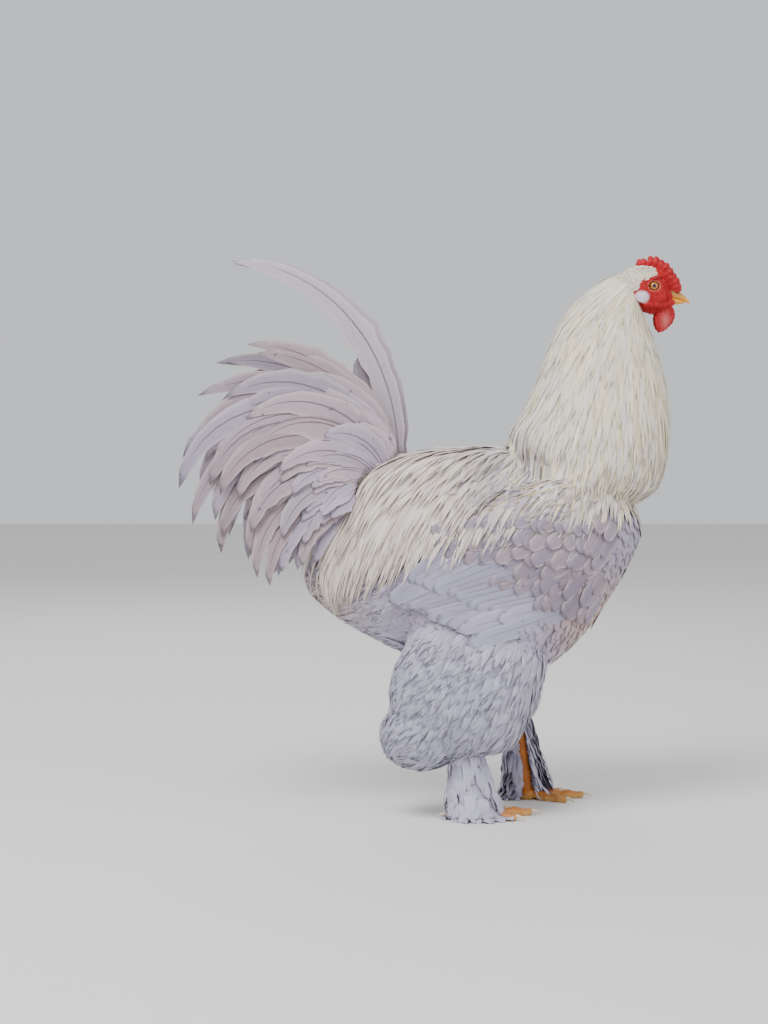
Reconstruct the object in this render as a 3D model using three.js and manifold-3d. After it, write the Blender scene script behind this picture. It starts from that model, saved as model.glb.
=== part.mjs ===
// A life-size Brahma cockerel that stands on both feet and looks straight ahead.
// Millimetres. X points to the beak, Y to the bird's left, Z up, and Z = 0 is the ground.
import * as THREE from "three";
import { mergeVertices } from "three/addons/utils/BufferGeometryUtils.js";
import Module from "manifold-3d";

const wasm = await Module();
wasm.setup();
const { Manifold, Mesh: SolidMesh } = wasm;
const { clamp, lerp, smoothstep, degToRad } = THREE.MathUtils;

// Clearances
const GAP = 0.45;
const MERGE = 1e-3;
const SMALLEST = 0.14;
const RIGHT = -1;
const LEFT = 1;

// Torso: rows of x, middle height, half width, half above, half below
const TORSO = [
  [-232, 285, 46, 34, 34],
  [-196, 292, 64, 66, 62],
  [-146, 304, 88, 104, 104],
  [-90, 307, 102, 128, 134],
  [-30, 305, 108, 134, 140],
  [30, 306, 108, 132, 138],
  [86, 316, 99, 116, 118],
  [134, 336, 80, 84, 82],
  [170, 350, 58, 56, 48],
  [190, 352, 36, 30, 26],
];
const ABDOMEN_CUT = { x: -128, z: 300, tilt: 38 };

// Neck: rows of x, height, half width, half in front, half behind, from the head down
const NECK = [
  [172, 652, 17, 16, 20],
  [160, 636, 29, 27, 34],
  [147, 598, 45, 56, 62],
  [140, 552, 59, 76, 78],
  [136, 506, 73, 90, 92],
  [128, 458, 90, 97, 104],
  [112, 412, 108, 104, 112],
  [98, 372, 114, 106, 116],
];
const NECK_CORE = 0.8;
const NECK_CORE_END = 0.9;
const HACKLE = { tiers: 3, around: 9, length: 0.5, half: 26, thick: 2.6, sink: 4 };

// Head: rows of x, height, half width, half above, half below
const HEAD = [
  [148, 648, 14, 15, 17],
  [164, 649, 17.5, 20.5, 21],
  [180, 649, 19, 23.5, 27],
  [196, 646, 19, 25, 30],
  [210, 641, 16.5, 22, 27],
  [222, 636, 10, 10, 11],
];
const EYE = { x: 199, y: 12.6, z: 648, radius: 6.9 };
const LID = { radius: 5.7, thick: 1.3, out: 5.2 };
const BROW = { x: 197, y: 14.6, z: 657, size: [12, 5.2, 3.4], tilt: -14 };
const EARLOBE = { x: 184, y: 17.4, z: 634.5, size: [9.4, 4, 7.6], tilt: 24 };
const WATTLE = { x: 213, y: 8.2, z: 609, size: [13, 4.4, 18.5], tilt: 18, folds: 3, fold: 0.2 };
const BEAK = { base: 219, tip: 245, top: 638, drop: 11, half: 7.4, up: 7.6, down: 5.4 };
const LOWER_BEAK = { base: 217, tip: 239.5, z: 629.4, half: 6.4, up: 4.6, down: 4.4 };
const NOSTRIL = { x: 231.5, y: 5.9, z: 640.4, size: [2.9, 2.2, 1.1], tilt: -20 };
const GAPE = { x: 215.5, z: 632.4, length: 13, height: 0.8 };

// Comb: three rows of small lobes over the forehead, as x and height from back to front
const COMB_LINE = [
  [183, 675],
  [196, 677],
  [208, 674],
  [218, 665],
  [225, 653],
  [229, 643],
];
const COMB = { lobes: 6, midHalf: 5.6, midRise: 5.4, sideHalf: 4.3, sideRise: 1.6, sideOut: 6.6 };

// Wing: rows of x, height, how far out, half thickness, half above, half below
const WING = [
  [184, 352, 44, 16, 30, 26],
  [152, 359, 62, 24, 48, 46],
  [104, 356, 82, 27, 62, 64],
  [52, 350, 92, 25, 62, 66],
  [0, 338, 95, 21, 52, 58],
  [-46, 316, 95, 16, 38, 46],
  [-80, 294, 93, 10, 22, 26],
];
const SECONDARY = { count: 6, length: 140, half: 15, thick: 2.2 };
const WING_TIERS = [
  { count: 6, from: [126, 316], to: [-38, 300], length: 62, half: 15, heading: 226, sink: 3, lift: 5.5 },
  { count: 6, from: [136, 346], to: [-34, 326], length: 50, half: 15, heading: 222, sink: 3, lift: 6 },
  { count: 6, from: [126, 378], to: [-30, 352], length: 46, half: 12, heading: 212, sink: 2.5, lift: 5.5 },
];

// Saddle: pointed feathers that hang from the back over both flanks
const SADDLE = { xFront: -18, xBack: -158, tiers: 2, around: 6, half: 10.5, thick: 2.2, drift: 34 };
const SADDLE_CORE = { rise: 5, back: -176, front: -6, spread: 62 };

// Tail root: rows of x, height, half width, half above, half below
const TAIL_ROOT = [
  [-96, 366, 40, 58, 44],
  [-136, 388, 46, 62, 52],
  [-172, 404, 40, 52, 52],
  [-204, 414, 26, 36, 40],
];
const TAIL_SLICE = 13;
// The fan of main tail feathers on each side, from the steepest to the flattest
const RECTRIX = { count: 5, headings: [98, 186], turn: 14, length: [150, 132], half: 18, thick: 2.4 };
// Covert arcs on each side: root, heading, turn, length, half width, splay
const COVERT_ARCS = [
  { root: [-122, 440], heading: 112, turn: 72, length: 262, half: 22, splay: 0.05 },
  { root: [-128, 432], heading: 117, turn: 104, length: 288, half: 22, splay: 0.1 },
  { root: [-134, 426], heading: 120, turn: 140, length: 350, half: 24, splay: 0.12 },
  { root: [-142, 424], heading: 132, turn: 138, length: 300, half: 24, splay: 0.15 },
  { root: [-150, 424], heading: 146, turn: 124, length: 262, half: 23, splay: 0.18 },
  { root: [-158, 420], heading: 160, turn: 112, length: 214, half: 21, splay: 0.2 },
  { root: [-164, 412], heading: 176, turn: 98, length: 186, half: 20, splay: 0.22 },
  { root: [-168, 400], heading: 192, turn: 76, length: 160, half: 19, splay: 0.22 },
  { root: [-166, 386], heading: 208, turn: 56, length: 112, half: 18, splay: 0.2 },
];
const COVERT_THICK = 2.4;
const SICKLE = { root: [-114, 432], heading: 92, turn: 88, bend: 1.3, length: 358, half: 21, thick: 2.6 };

// Thighs: rows of x, out, height, half sideways, half in front, half behind
const THIGH = [
  [4, 62, 262, 36, 66, 74],
  [-8, 70, 214, 50, 84, 96],
  [-24, 73, 168, 54, 84, 100],
  [-40, 72, 128, 50, 84, 98],
  [-52, 69, 96, 40, 74, 84],
  [-60, 66, 68, 25, 44, 58],
];
const THIGH_TUFT = { rows: 2, around: 5, length: 50, half: 15, thick: 2.8 };
const FLUFF_TUFT = { rows: 2, around: 5, length: 52, half: 17, thick: 3 };

// Legs: where each foot stands, how far its leg swings forward of the right one, and where its toes point
const FEET = [
  { side: RIGHT, x: -24, y: 60, swing: 0, yaw: -8 },
  { side: LEFT, x: 50, y: 60, swing: 46, yaw: 4 },
];
const SHANK = { top: 116, radius: 8.6, ankle: 8.2, lean: 14, scutes: 9, scute: 0.07 };
const FOOT_PAD = { half: 13.5, height: 17 };
const TOES = [
  { name: "inner", yaw: 34, length: 50, radius: 6.2 },
  { name: "middle", yaw: 0, length: 66, radius: 6.8 },
  { name: "outer", yaw: -36, length: 50, radius: 6 },
  { name: "hallux", yaw: 172, length: 28, radius: 5.4 },
];
const TOE_START = 8;
const TOE_FLAT = 1.2;
const CLAW = { length: 14, radius: 3.3, drop: 3.1 };
const SHANK_FEATHER = { rows: 3, around: 4, length: 58, half: 11.5, thick: 2.2 };

const MATERIALS = {
  torso: { color: 0xbdb2b4, roughness: 0.85 },
  hackle: { color: 0xe6dfcb, roughness: 0.7 },
  wing: { color: 0xb6b2c0, roughness: 0.75 },
  tail: { color: 0xb8abae, roughness: 0.75 },
  fluff: { color: 0xc3bcc3, roughness: 0.9 },
  flesh: { color: 0xc81f2e, roughness: 0.5 },
  lobe: { color: 0xd5d2e0, roughness: 0.55 },
  eye: { color: 0xc98a2e, roughness: 0.1 },
  beak: { color: 0xd99a34, roughness: 0.35 },
  scale: { color: 0xc77a2c, roughness: 0.55 },
  claw: { color: 0xcdbfa4, roughness: 0.4 },
};

// A repeatable source of numbers from 0 to 1.
function seeded(seed) {
  let state = seed;
  return () => {
    state = (state + 0x6d2b79f5) | 0;
    let t = Math.imul(state ^ (state >>> 15), 1 | state);
    t = (t + Math.imul(t ^ (t >>> 7), 61 | t)) ^ t;
    return ((t ^ (t >>> 14)) >>> 0) / 4294967296;
  };
}

// Turns a closed geometry into a solid that faces outwards.
function solid(geometry) {
  const bare = geometry.clone();
  bare.deleteAttribute("normal");
  bare.deleteAttribute("uv");
  const merged = mergeVertices(bare, MERGE);
  const faces = new Uint32Array(merged.index.array);
  const build = (triVerts) =>
    new Manifold(new SolidMesh({ numProp: 3, vertProperties: merged.attributes.position.array, triVerts }));
  const made = build(faces);
  if (made.volume() > 0) return made;
  for (let i = 0; i < faces.length; i += 3) [faces[i + 1], faces[i + 2]] = [faces[i + 2], faces[i + 1]];
  return build(faces);
}

// Reads a table of rows at u, from 0 at its first row to 1 at its last, along a smooth curve through them.
function along(table, u) {
  const at = clamp(u, 0, 1) * (table.length - 1);
  const i = Math.min(Math.floor(at), table.length - 2);
  const t = at - i;
  const row = (k) => table[clamp(k, 0, table.length - 1)];
  return table[i].map((b, c) => {
    const [a, d, e] = [row(i - 1)[c], row(i + 1)[c], row(i + 2)[c]];
    const slopeIn = (d - a) / 2;
    const slopeOut = (e - b) / 2;
    return (
      b * (1 + 2 * t) * (1 - t) ** 2 + slopeIn * t * (1 - t) ** 2 + d * t * t * (3 - 2 * t) + slopeOut * t * t * (t - 1)
    );
  });
}

// A closed rounded body: rings along a path, each with its own half sizes to the side, above and below.
class Loft {
  // ring(u) gives [centre x, y, z, half side, half above, half below]; upright rings all face along the path's ends.
  constructor({ ring, upright = false, domes = [0.2, 0.2], square = 1 }) {
    Object.assign(this, { ring, upright, domes, square });
  }

  centre(u) {
    return new THREE.Vector3(...this.ring(u).slice(0, 3));
  }

  tangent(u) {
    const step = this.upright ? 1 : 0.02;
    const low = this.upright ? 0 : Math.max(0, u - step);
    const high = this.upright ? 1 : Math.min(1, u + step);
    return this.centre(high).sub(this.centre(low)).setY(0).normalize();
  }

  dome(u) {
    const [a, b] = this.domes;
    const start = u < a ? Math.sqrt(Math.max(0, 1 - (1 - u / a) ** 2)) : 1;
    const end = 1 - u < b ? Math.sqrt(Math.max(0, 1 - (1 - (1 - u) / b) ** 2)) : 1;
    return start * end;
  }

  // A point of the surface, moved outwards by grow, as a vector.
  point(u, angle, grow = 0) {
    const [, , , side, above, below] = this.ring(u);
    const tangent = this.tangent(u);
    const sideways = new THREE.Vector3(0, 1, 0);
    const upwards = tangent.clone().cross(sideways);
    if (this.upright && upwards.z < 0) upwards.negate();
    const c = Math.cos(angle);
    const s = Math.sin(angle);
    const shape = (v) => Math.sign(v) * Math.abs(v) ** this.square;
    const dome = this.dome(u);
    return this.centre(u)
      .addScaledVector(tangent, -grow * Math.cos(Math.PI * u))
      .addScaledVector(sideways, shape(c) * (side + grow) * dome)
      .addScaledVector(upwards, shape(s) * ((s > 0 ? above : below) + grow) * dome);
  }

  solid(rows, cols, grow = 0) {
    const geometry = new THREE.SphereGeometry(1, cols, rows);
    const { uv, position } = geometry.attributes;
    for (let i = 0; i < position.count; i++) {
      const v = 1 - uv.getY(i);
      const u = v - (0.7 * Math.sin(2 * Math.PI * v)) / (2 * Math.PI);
      position.setXYZ(i, ...this.point(u, uv.getX(i) * 2 * Math.PI, grow));
    }
    return solid(geometry);
  }
}

// How wide a vane is along its length, as a share of its half width.
const OUTLINES = {
  round: (t) => Math.sqrt(Math.min(1, 0.25 + 1.5 * t)) * Math.sqrt(1 - t ** 5),
  lance: (t) => (0.55 + 0.45 * Math.sin(Math.PI * Math.min(1, t * 1.1))) * Math.sqrt(1 - t ** 1.6),
  sickle: (t) => Math.sqrt(Math.min(1, 0.3 + 2 * t)) * (1 - t ** 2.2) ** 0.75,
  tuft: (t) => (0.7 + 0.3 * Math.sin(Math.PI * t)) * (1 - t ** 2),
};

// A closed feather vane along at(t), which gives a point and the way that the vane faces there.
function vane({ at, half, thick, steps = 4, outline = "round", bow = 0.16 }, grow = 0) {
  const points = [];
  const even = outline === "round" ? 0.72 : 0.95;
  for (let i = 0; i < steps; i++) {
    const t = (i / steps) ** even;
    const [p, facing] = at(t);
    const ahead = at(Math.min(1, t + 0.04))[0].sub(at(Math.max(0, t - 0.04))[0]).normalize();
    const sideways = ahead.clone().cross(facing).normalize();
    const out = sideways.clone().cross(ahead).normalize();
    const width = half * OUTLINES[outline](t) + 2 * grow;
    const deep = (thick / 2) * (1 - 0.55 * t) + grow;
    if (i === 0) p.addScaledVector(ahead, -grow);
    const edge = p.clone().addScaledVector(out, -bow * width);
    points.push(edge.clone().addScaledVector(sideways, -width));
    points.push(p.clone().addScaledVector(out, deep));
    points.push(edge.clone().addScaledVector(sideways, width));
    points.push(p.clone().addScaledVector(out, -deep));
  }
  const end = at(1)[0];
  points.push(end.clone().addScaledVector(end.clone().sub(at(0.96)[0]).normalize(), 2 * grow));
  const faces = [0, 1, 3, 1, 2, 3];
  for (let i = 0; i < steps - 1; i++) {
    const [l, t, r, b] = [0, 1, 2, 3].map((k) => 4 * i + k);
    const [l2, t2, r2, b2] = [4, 5, 6, 7].map((k) => 4 * i + k);
    faces.push(l, l2, t2, l, t2, t, r, t, t2, r, t2, r2, l, b2, l2, l, b, b2, r, b2, b, r, r2, b2);
  }
  const tip = points.length - 1;
  const [l, t, r, b] = [0, 1, 2, 3].map((k) => 4 * (steps - 1) + k);
  faces.push(l, tip, t, t, tip, r, r, tip, b, b, tip, l);
  const geometry = new THREE.BufferGeometry().setFromPoints(points);
  geometry.setIndex(faces);
  return solid(geometry);
}

// A path in a plane that faces sideways: it starts at root on a heading, where 90 is up and 180 is backwards, and turns.
function arcPath({ root, y, heading, turn, length, splay, side, bend = 1.15, lean = 0.15 }) {
  const samples = 24;
  const line = [new THREE.Vector3(root[0], side * y, root[1])];
  for (let i = 0; i < samples; i++) {
    const t = (i + 0.5) / samples;
    const angle = degToRad(heading + turn * t ** bend);
    const step = length / samples;
    const last = line[i];
    line.push(
      new THREE.Vector3(
        last.x + Math.cos(angle) * step,
        last.y + side * splay * step * (1.4 - 0.8 * t),
        last.z + Math.sin(angle) * step,
      ),
    );
  }
  const facing = new THREE.Vector3(0, side, lean).normalize();
  return (t) => {
    const at = clamp(t, 0, 1) * samples;
    const i = Math.min(Math.floor(at), samples - 1);
    return [line[i].clone().lerp(line[i + 1], at - i), facing];
  };
}

// A straight path that starts sunk in a loft's surface and rises clear of it, along the loft by step.
function tuftPath(loft, u, angle, step, length, lift) {
  const root = loft.point(u, angle, -6);
  const heading = loft.point(u + step, angle).sub(loft.point(u, angle)).normalize();
  const out = loft.point(u, angle, 10).sub(loft.point(u, angle)).normalize();
  return (t) => {
    const p = root.clone().addScaledVector(heading, length * t);
    return [p.addScaledVector(out, (lift + 6) * smoothstep(t, -0.1, 1)), out];
  };
}

const grown = (size, grow) => size.map((half) => half + grow);
const largest = (made) => made.decompose().reduce((a, b) => (b.volume() > a.volume() ? b : a));

function joined(pieces) {
  return Manifold.union(pieces);
}

function ball(x, y, z, size, tilt = 0, cols = 10, rows = 6) {
  const geometry = new THREE.SphereGeometry(1, cols, rows);
  geometry.scale(...size);
  geometry.rotateY(degToRad(tilt));
  geometry.translate(x, y, z);
  return solid(geometry);
}

function block(x, y, z, size, tilt = 0) {
  const geometry = new THREE.BoxGeometry(...size);
  geometry.rotateY(degToRad(tilt));
  geometry.translate(x, y, z);
  return solid(geometry);
}

// Lofts of the body
const torso = new Loft({
  ring: (u) => {
    const [x, z, half, above, below] = along(TORSO, u);
    return [x, 0, z, half, above, below];
  },
  upright: true,
  domes: [0.14, 0.16],
  square: 0.94,
});
const neckRing = (scale) => (u) => {
  const [x, z, half, front, back] = along(NECK, u);
  return [x, 0, z, half * scale, front * scale, back * scale];
};
const neckCoat = new Loft({ ring: neckRing(1), domes: [0, 0] });
const neckCore = new Loft({
  ring: (u) => neckRing(lerp(0.94, NECK_CORE, smoothstep(u, 0, 0.5)))(u * NECK_CORE_END),
  domes: [0.08, 0.16],
});
const head = new Loft({
  ring: (u) => {
    const [x, z, half, above, below] = along(HEAD, u);
    return [x, 0, z, half, above, below];
  },
  upright: true,
  domes: [0.3, 0.28],
});
const wing = (side) =>
  new Loft({
    ring: (u) => {
      const [x, z, out, half, above, below] = along(WING, u);
      return [x, side * out, z, half, above, below];
    },
    upright: true,
    domes: [0.2, 0.3],
  });
const tailRoot = new Loft({
  ring: (u) => {
    const [x, z, half, above, below] = along(TAIL_ROOT, u);
    return [x, 0, z, half, above, below];
  },
  upright: true,
  domes: [0.2, 0.4],
});
const thigh = ({ side, swing }) =>
  new Loft({
    ring: (u) => {
      const [x, out, z, half, front, back] = along(THIGH, u);
      return [x + swing * smoothstep(u, 0, 1), side * out, z, half, front, back];
    },
    domes: [0.2, 0.34],
    square: 0.92,
  });

const floorBelow = block(0, 0, -500, [2000, 2000, 1000]);
const sidesOf = (make) => [RIGHT, LEFT].map(make);
const sideName = (side) => (side === RIGHT ? "right" : "left");

// The plane that parts the abdomen's fluff from the torso, as a large block behind and below it.
function abdomenSide(shift) {
  const size = 800;
  const turned = degToRad(ABDOMEN_CUT.tilt);
  const reach = size / 2 + shift;
  return block(
    ABDOMEN_CUT.x - Math.cos(turned) * reach,
    0,
    ABDOMEN_CUT.z - Math.sin(turned) * reach,
    [size, size, size],
    -ABDOMEN_CUT.tilt,
  );
}

// Each function below returns the pieces of one node, and each piece makes its solid with a given growth.
function torsoPieces() {
  return [(grow) => torso.solid(12, 16, grow).subtract(abdomenSide(grow))];
}

// Soft tufts at the rear, in rows that point back and down.
function abdomenPieces() {
  const pieces = [(grow) => torso.solid(12, 16, grow - 3)];
  const random = seeded(11);
  for (let r = 0; r < FLUFF_TUFT.rows; r++)
    for (let i = 0; i < FLUFF_TUFT.around; i++) {
      const across = (i + (r % 2 ? 0.5 : 0)) / (FLUFF_TUFT.around - 0.5);
      const angle = degToRad(lerp(200, 340, across));
      const at = tuftPath(torso, 0.3 - 0.1 * r, angle, -0.08, FLUFF_TUFT.length, 9 + 3 * (i % 2));
      const half = FLUFF_TUFT.half * (0.9 + 0.2 * random());
      pieces.push((grow) => vane({ at, half, thick: FLUFF_TUFT.thick, steps: 3, outline: "tuft" }, grow));
    }
  return pieces.map((piece) => (grow) => piece(grow).intersect(abdomenSide(GAP - grow)));
}

// Long narrow feathers in tiers down the neck, whose tips spread over the shoulders.
function neckPieces() {
  const random = seeded(5);
  const pieces = [(grow) => neckCore.solid(9, 14, grow)];
  for (let k = 0; k < HACKLE.tiers; k++)
    for (let i = 0; i < HACKLE.around; i++) {
      const angle = ((i + (k % 2 ? 0.5 : 0)) / HACKLE.around) * 2 * Math.PI;
      const front = 0.5 + 0.5 * Math.sin(angle);
      const share = k / (HACKLE.tiers - 1);
      const start = lerp(0.12, 0.5, share);
      const end = Math.min(start + HACKLE.length, lerp(0.76, 0.93, front)) - 0.02 * random();
      const level = i % 2 ? 2.6 : 0;
      const at = (t) => {
        const u = lerp(start, end, t);
        const inner = neckCore.point(u / NECK_CORE_END, angle, -HACKLE.sink);
        const outer = neckCoat.point(u, angle, level - 3.2 * (1 - share));
        const p = inner.lerp(outer, smoothstep(t, -0.25, 1));
        return [p, p.clone().sub(neckCoat.centre(u)).normalize()];
      };
      const half = HACKLE.half * lerp(0.62, 1, share) * (0.92 + 0.16 * random());
      pieces.push((grow) => vane({ at, half, thick: HACKLE.thick, steps: 3, outline: "lance" }, grow));
    }
  return pieces;
}

function eyePieces(side) {
  return [
    (grow) => {
      const r = EYE.radius + grow;
      return ball(EYE.x, side * EYE.y, EYE.z, [r, r, r], 0, 12, 8);
    },
  ];
}

// The head with its lids and brows, cut along the line of the mouth.
function headPieces() {
  const pieces = [(grow) => head.solid(9, 14, grow)];
  for (const side of [RIGHT, LEFT]) {
    pieces.push((grow) => {
      const lid = new THREE.TorusGeometry(LID.radius, LID.thick + grow, 4, 8);
      lid.scale(1.12, 0.94, 1);
      lid.rotateX(Math.PI / 2);
      lid.translate(EYE.x, side * (EYE.y + LID.out - 1), EYE.z);
      return solid(lid);
    });
    pieces.push((grow) => ball(BROW.x, side * BROW.y, BROW.z, grown(BROW.size, grow), BROW.tilt, 6, 4));
  }
  return pieces;
}
const gape = () => block(GAPE.x, 0, GAPE.z, [GAPE.length, 60, GAPE.height], 6);

// Three rows of lobes along the forehead, with the middle row the highest.
function combPieces() {
  const line = (u) => along(COMB_LINE, u);
  const pieces = [];
  const lobe = (x, y, z, size) =>
    pieces.push((grow) => ball(x, y, z, grown(size, grow), 0, 6, 4));
  for (let i = 0; i < COMB.lobes; i++) {
    const u = i / (COMB.lobes - 1);
    const [x, z] = line(u);
    const [xa, za] = line(u + 0.03);
    const [xb, zb] = line(u - 0.03);
    const out = new THREE.Vector2(-(za - zb), xa - xb).normalize();
    const swell = 0.62 + 0.42 * Math.sin(Math.PI * (0.12 + 0.76 * u));
    const mid = COMB.midHalf * swell;
    const rise = COMB.midRise * swell;
    lobe(x + out.x * rise, 0, z + out.y * rise, [mid * 1.02, mid * 0.86, mid * 1.05]);
    lobe(x, 0, z, [mid * 1.3, mid * 1.2, mid]);
    for (const side of [RIGHT, LEFT]) {
      const low = COMB.sideHalf * swell;
      const up = COMB.sideRise * swell - 1.2;
      lobe(x + out.x * up, side * COMB.sideOut * swell, z + out.y * up, [low, low, low]);
    }
  }
  return pieces;
}

const upperBeak = new Loft({
  ring: (u) => {
    const shrink = 1 - u ** 1.35 * 0.84;
    const x = lerp(BEAK.base, BEAK.tip, u);
    const z = BEAK.top - BEAK.drop * u ** 2.4;
    return [x, 0, z, BEAK.half * shrink, BEAK.up * shrink, BEAK.down * shrink * (1 - 0.15 * u)];
  },
  domes: [0.1, 0.12],
});
const lowerBeak = new Loft({
  ring: (u) => {
    const shrink = 1 - u ** 1.5 * 0.8;
    const x = lerp(LOWER_BEAK.base, LOWER_BEAK.tip, u);
    return [x, 0, LOWER_BEAK.z - 1.6 * u, LOWER_BEAK.half * shrink, LOWER_BEAK.up * shrink, LOWER_BEAK.down * shrink];
  },
  upright: true,
  domes: [0.1, 0.2],
});
const nostrils = () =>
  joined(sidesOf((side) => ball(NOSTRIL.x, side * NOSTRIL.y, NOSTRIL.z, NOSTRIL.size, NOSTRIL.tilt, 8, 4)));

// A wattle hangs with upright folds and narrows towards its lower end.
function wattlePieces(side) {
  return [
    (grow) => {
      const geometry = new THREE.SphereGeometry(1, 12, 8);
      const { position } = geometry.attributes;
      for (let i = 0; i < position.count; i++) {
        const [x, y, z] = [position.getX(i), position.getY(i), position.getZ(i)];
        const fold = 1 + WATTLE.fold * Math.sin(WATTLE.folds * Math.PI * x + 0.6);
        position.setXYZ(i, x * (1 - 0.28 * smoothstep(-z, 0, 1)), y * fold, z);
      }
      geometry.scale(...grown(WATTLE.size, grow));
      geometry.rotateY(degToRad(WATTLE.tilt));
      geometry.translate(WATTLE.x, side * WATTLE.y, WATTLE.z);
      return solid(geometry);
    },
  ];
}

function earlobePieces(side) {
  const { x, y, z, size, tilt } = EARLOBE;
  return [(grow) => ball(x, side * y, z, grown(size, grow), tilt, 10, 6)];
}

// The place in a table whose first column goes evenly up or down, for a value of that column.
function rowOf(table, value) {
  let [low, high] = [0, 1];
  const falling = table[0][0] > table[table.length - 1][0];
  for (let i = 0; i < 20; i++) {
    const mid = (low + high) / 2;
    if (along(table, mid)[0] > value === falling) low = mid;
    else high = mid;
  }
  return (low + high) / 2;
}

// How far out a wing's surface lies, for a place seen from the side.
function wingFace(side) {
  const loft = wing(side);
  return (x, z) => {
    const u = clamp(rowOf(WING, x), 0.02, 0.98);
    const [, cy, cz, half, above, below] = loft.ring(u);
    const up = clamp((z - cz) / (z > cz ? above : below), -0.98, 0.98);
    return Math.abs(cy) + half * Math.sqrt(1 - up * up) * Math.max(0.5, loft.dome(u));
  };
}

// Tiers of rounded feathers on a wing.
function wingPieces(side) {
  const face = wingFace(side);
  const random = seeded(21 + side);
  const pieces = [(grow) => wing(side).solid(8, 12, grow)];
  WING_TIERS.forEach((tier, k) => {
    for (let i = 0; i < tier.count; i++) {
      const share = i / (tier.count - 1);
      const x0 = lerp(tier.from[0], tier.to[0], share);
      const z0 = lerp(tier.from[1], tier.to[1], share);
      const heading = degToRad(tier.heading - 24 * share + 3 * random());
      const length = tier.length * (0.94 + 0.12 * random());
      const level = i % 2 ? 1.9 : 0;
      const at = (t) => {
        const x = x0 + Math.cos(heading) * length * t;
        const z = z0 + Math.sin(heading) * length * t;
        const out = Math.max(face(lerp(x0, x, 0.55), lerp(z0, z, 0.55)), face(x0, z0) * 0.9);
        const y = out + lerp(-tier.sink, tier.lift + level, t);
        return [new THREE.Vector3(x, side * y, z), new THREE.Vector3(0.1, side, 0.05)];
      };
      const outline = k === 2 ? "lance" : "round";
      pieces.push((grow) => vane({ at, half: tier.half, thick: 1.8, steps: 3, outline }, grow));
    }
  });
  return pieces;
}

// Long flight feathers that fan back from under the coverts.
function flightPieces(side) {
  const random = seeded(31 + side);
  const face = wingFace(side);
  const pieces = [];
  for (let i = 0; i < SECONDARY.count; i++) {
    const share = i / (SECONDARY.count - 1);
    const x0 = lerp(34, -34, share);
    const z0 = lerp(284, 322, share);
    const heading = degToRad(lerp(193, 216, share));
    const length = SECONDARY.length * lerp(1.02, 0.82, share) * (0.97 + 0.06 * random());
    const at = (t) => {
      const y = face(x0, z0) + lerp(2, 5, t) + 1.4 * (i % 2) + share * 2;
      const x = x0 + Math.cos(heading) * length * t;
      const z = z0 + Math.sin(heading) * length * t;
      return [new THREE.Vector3(x, side * y, z), new THREE.Vector3(0, side, 0.06)];
    };
    pieces.push((grow) => vane({ at, half: SECONDARY.half, thick: SECONDARY.thick, steps: 3 }, grow));
  }
  return pieces;
}

// The root of the tail in three upright slices: the middle one for side 0, and one for each side.
function tailRootPiece(side) {
  const width = 200;
  const slice = (grow) =>
    side === 0
      ? block(-160, 0, 400, [400, 2 * (TAIL_SLICE + grow), 400])
      : block(-160, side * (TAIL_SLICE + GAP - grow + width / 2), 400, [400, width, 400]);
  return (grow) => tailRoot.solid(6, 12, grow).intersect(slice(grow));
}

// The upright main feathers, as two fans that meet along the back.
function tailFanPieces() {
  const pieces = [tailRootPiece(0)];
  for (const side of [RIGHT, LEFT])
    for (let i = 0; i < RECTRIX.count; i++) {
      const share = i / (RECTRIX.count - 1);
      const at = arcPath({
        root: [lerp(-128, -172, share), lerp(424, 392, share)],
        y: 3 + 7 * share,
        heading: lerp(RECTRIX.headings[0], RECTRIX.headings[1], share),
        turn: RECTRIX.turn,
        length: lerp(RECTRIX.length[0], RECTRIX.length[1], Math.abs(share - 0.3)),
        splay: 0.02 + 0.04 * share,
        side,
        lean: 0.1,
      });
      pieces.push((grow) => vane({ at, half: RECTRIX.half, thick: RECTRIX.thick, steps: 3 }, grow));
    }
  return pieces;
}

function covertPieces(side) {
  const arcs = COVERT_ARCS.map((arc, i) => {
    const at = arcPath({ ...arc, y: TAIL_SLICE + 8 + 2.4 * i, side, lean: 0.1 + 0.04 * i });
    return (grow) => vane({ at, half: arc.half, thick: COVERT_THICK, steps: 5, outline: "sickle" }, grow);
  });
  return [tailRootPiece(side), ...arcs];
}

function sicklePieces(side) {
  const at = arcPath({ ...SICKLE, y: 5, splay: 0.05, side });
  return [(grow) => vane({ at, half: SICKLE.half, thick: SICKLE.thick, steps: 9, outline: "sickle" }, grow)];
}

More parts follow.
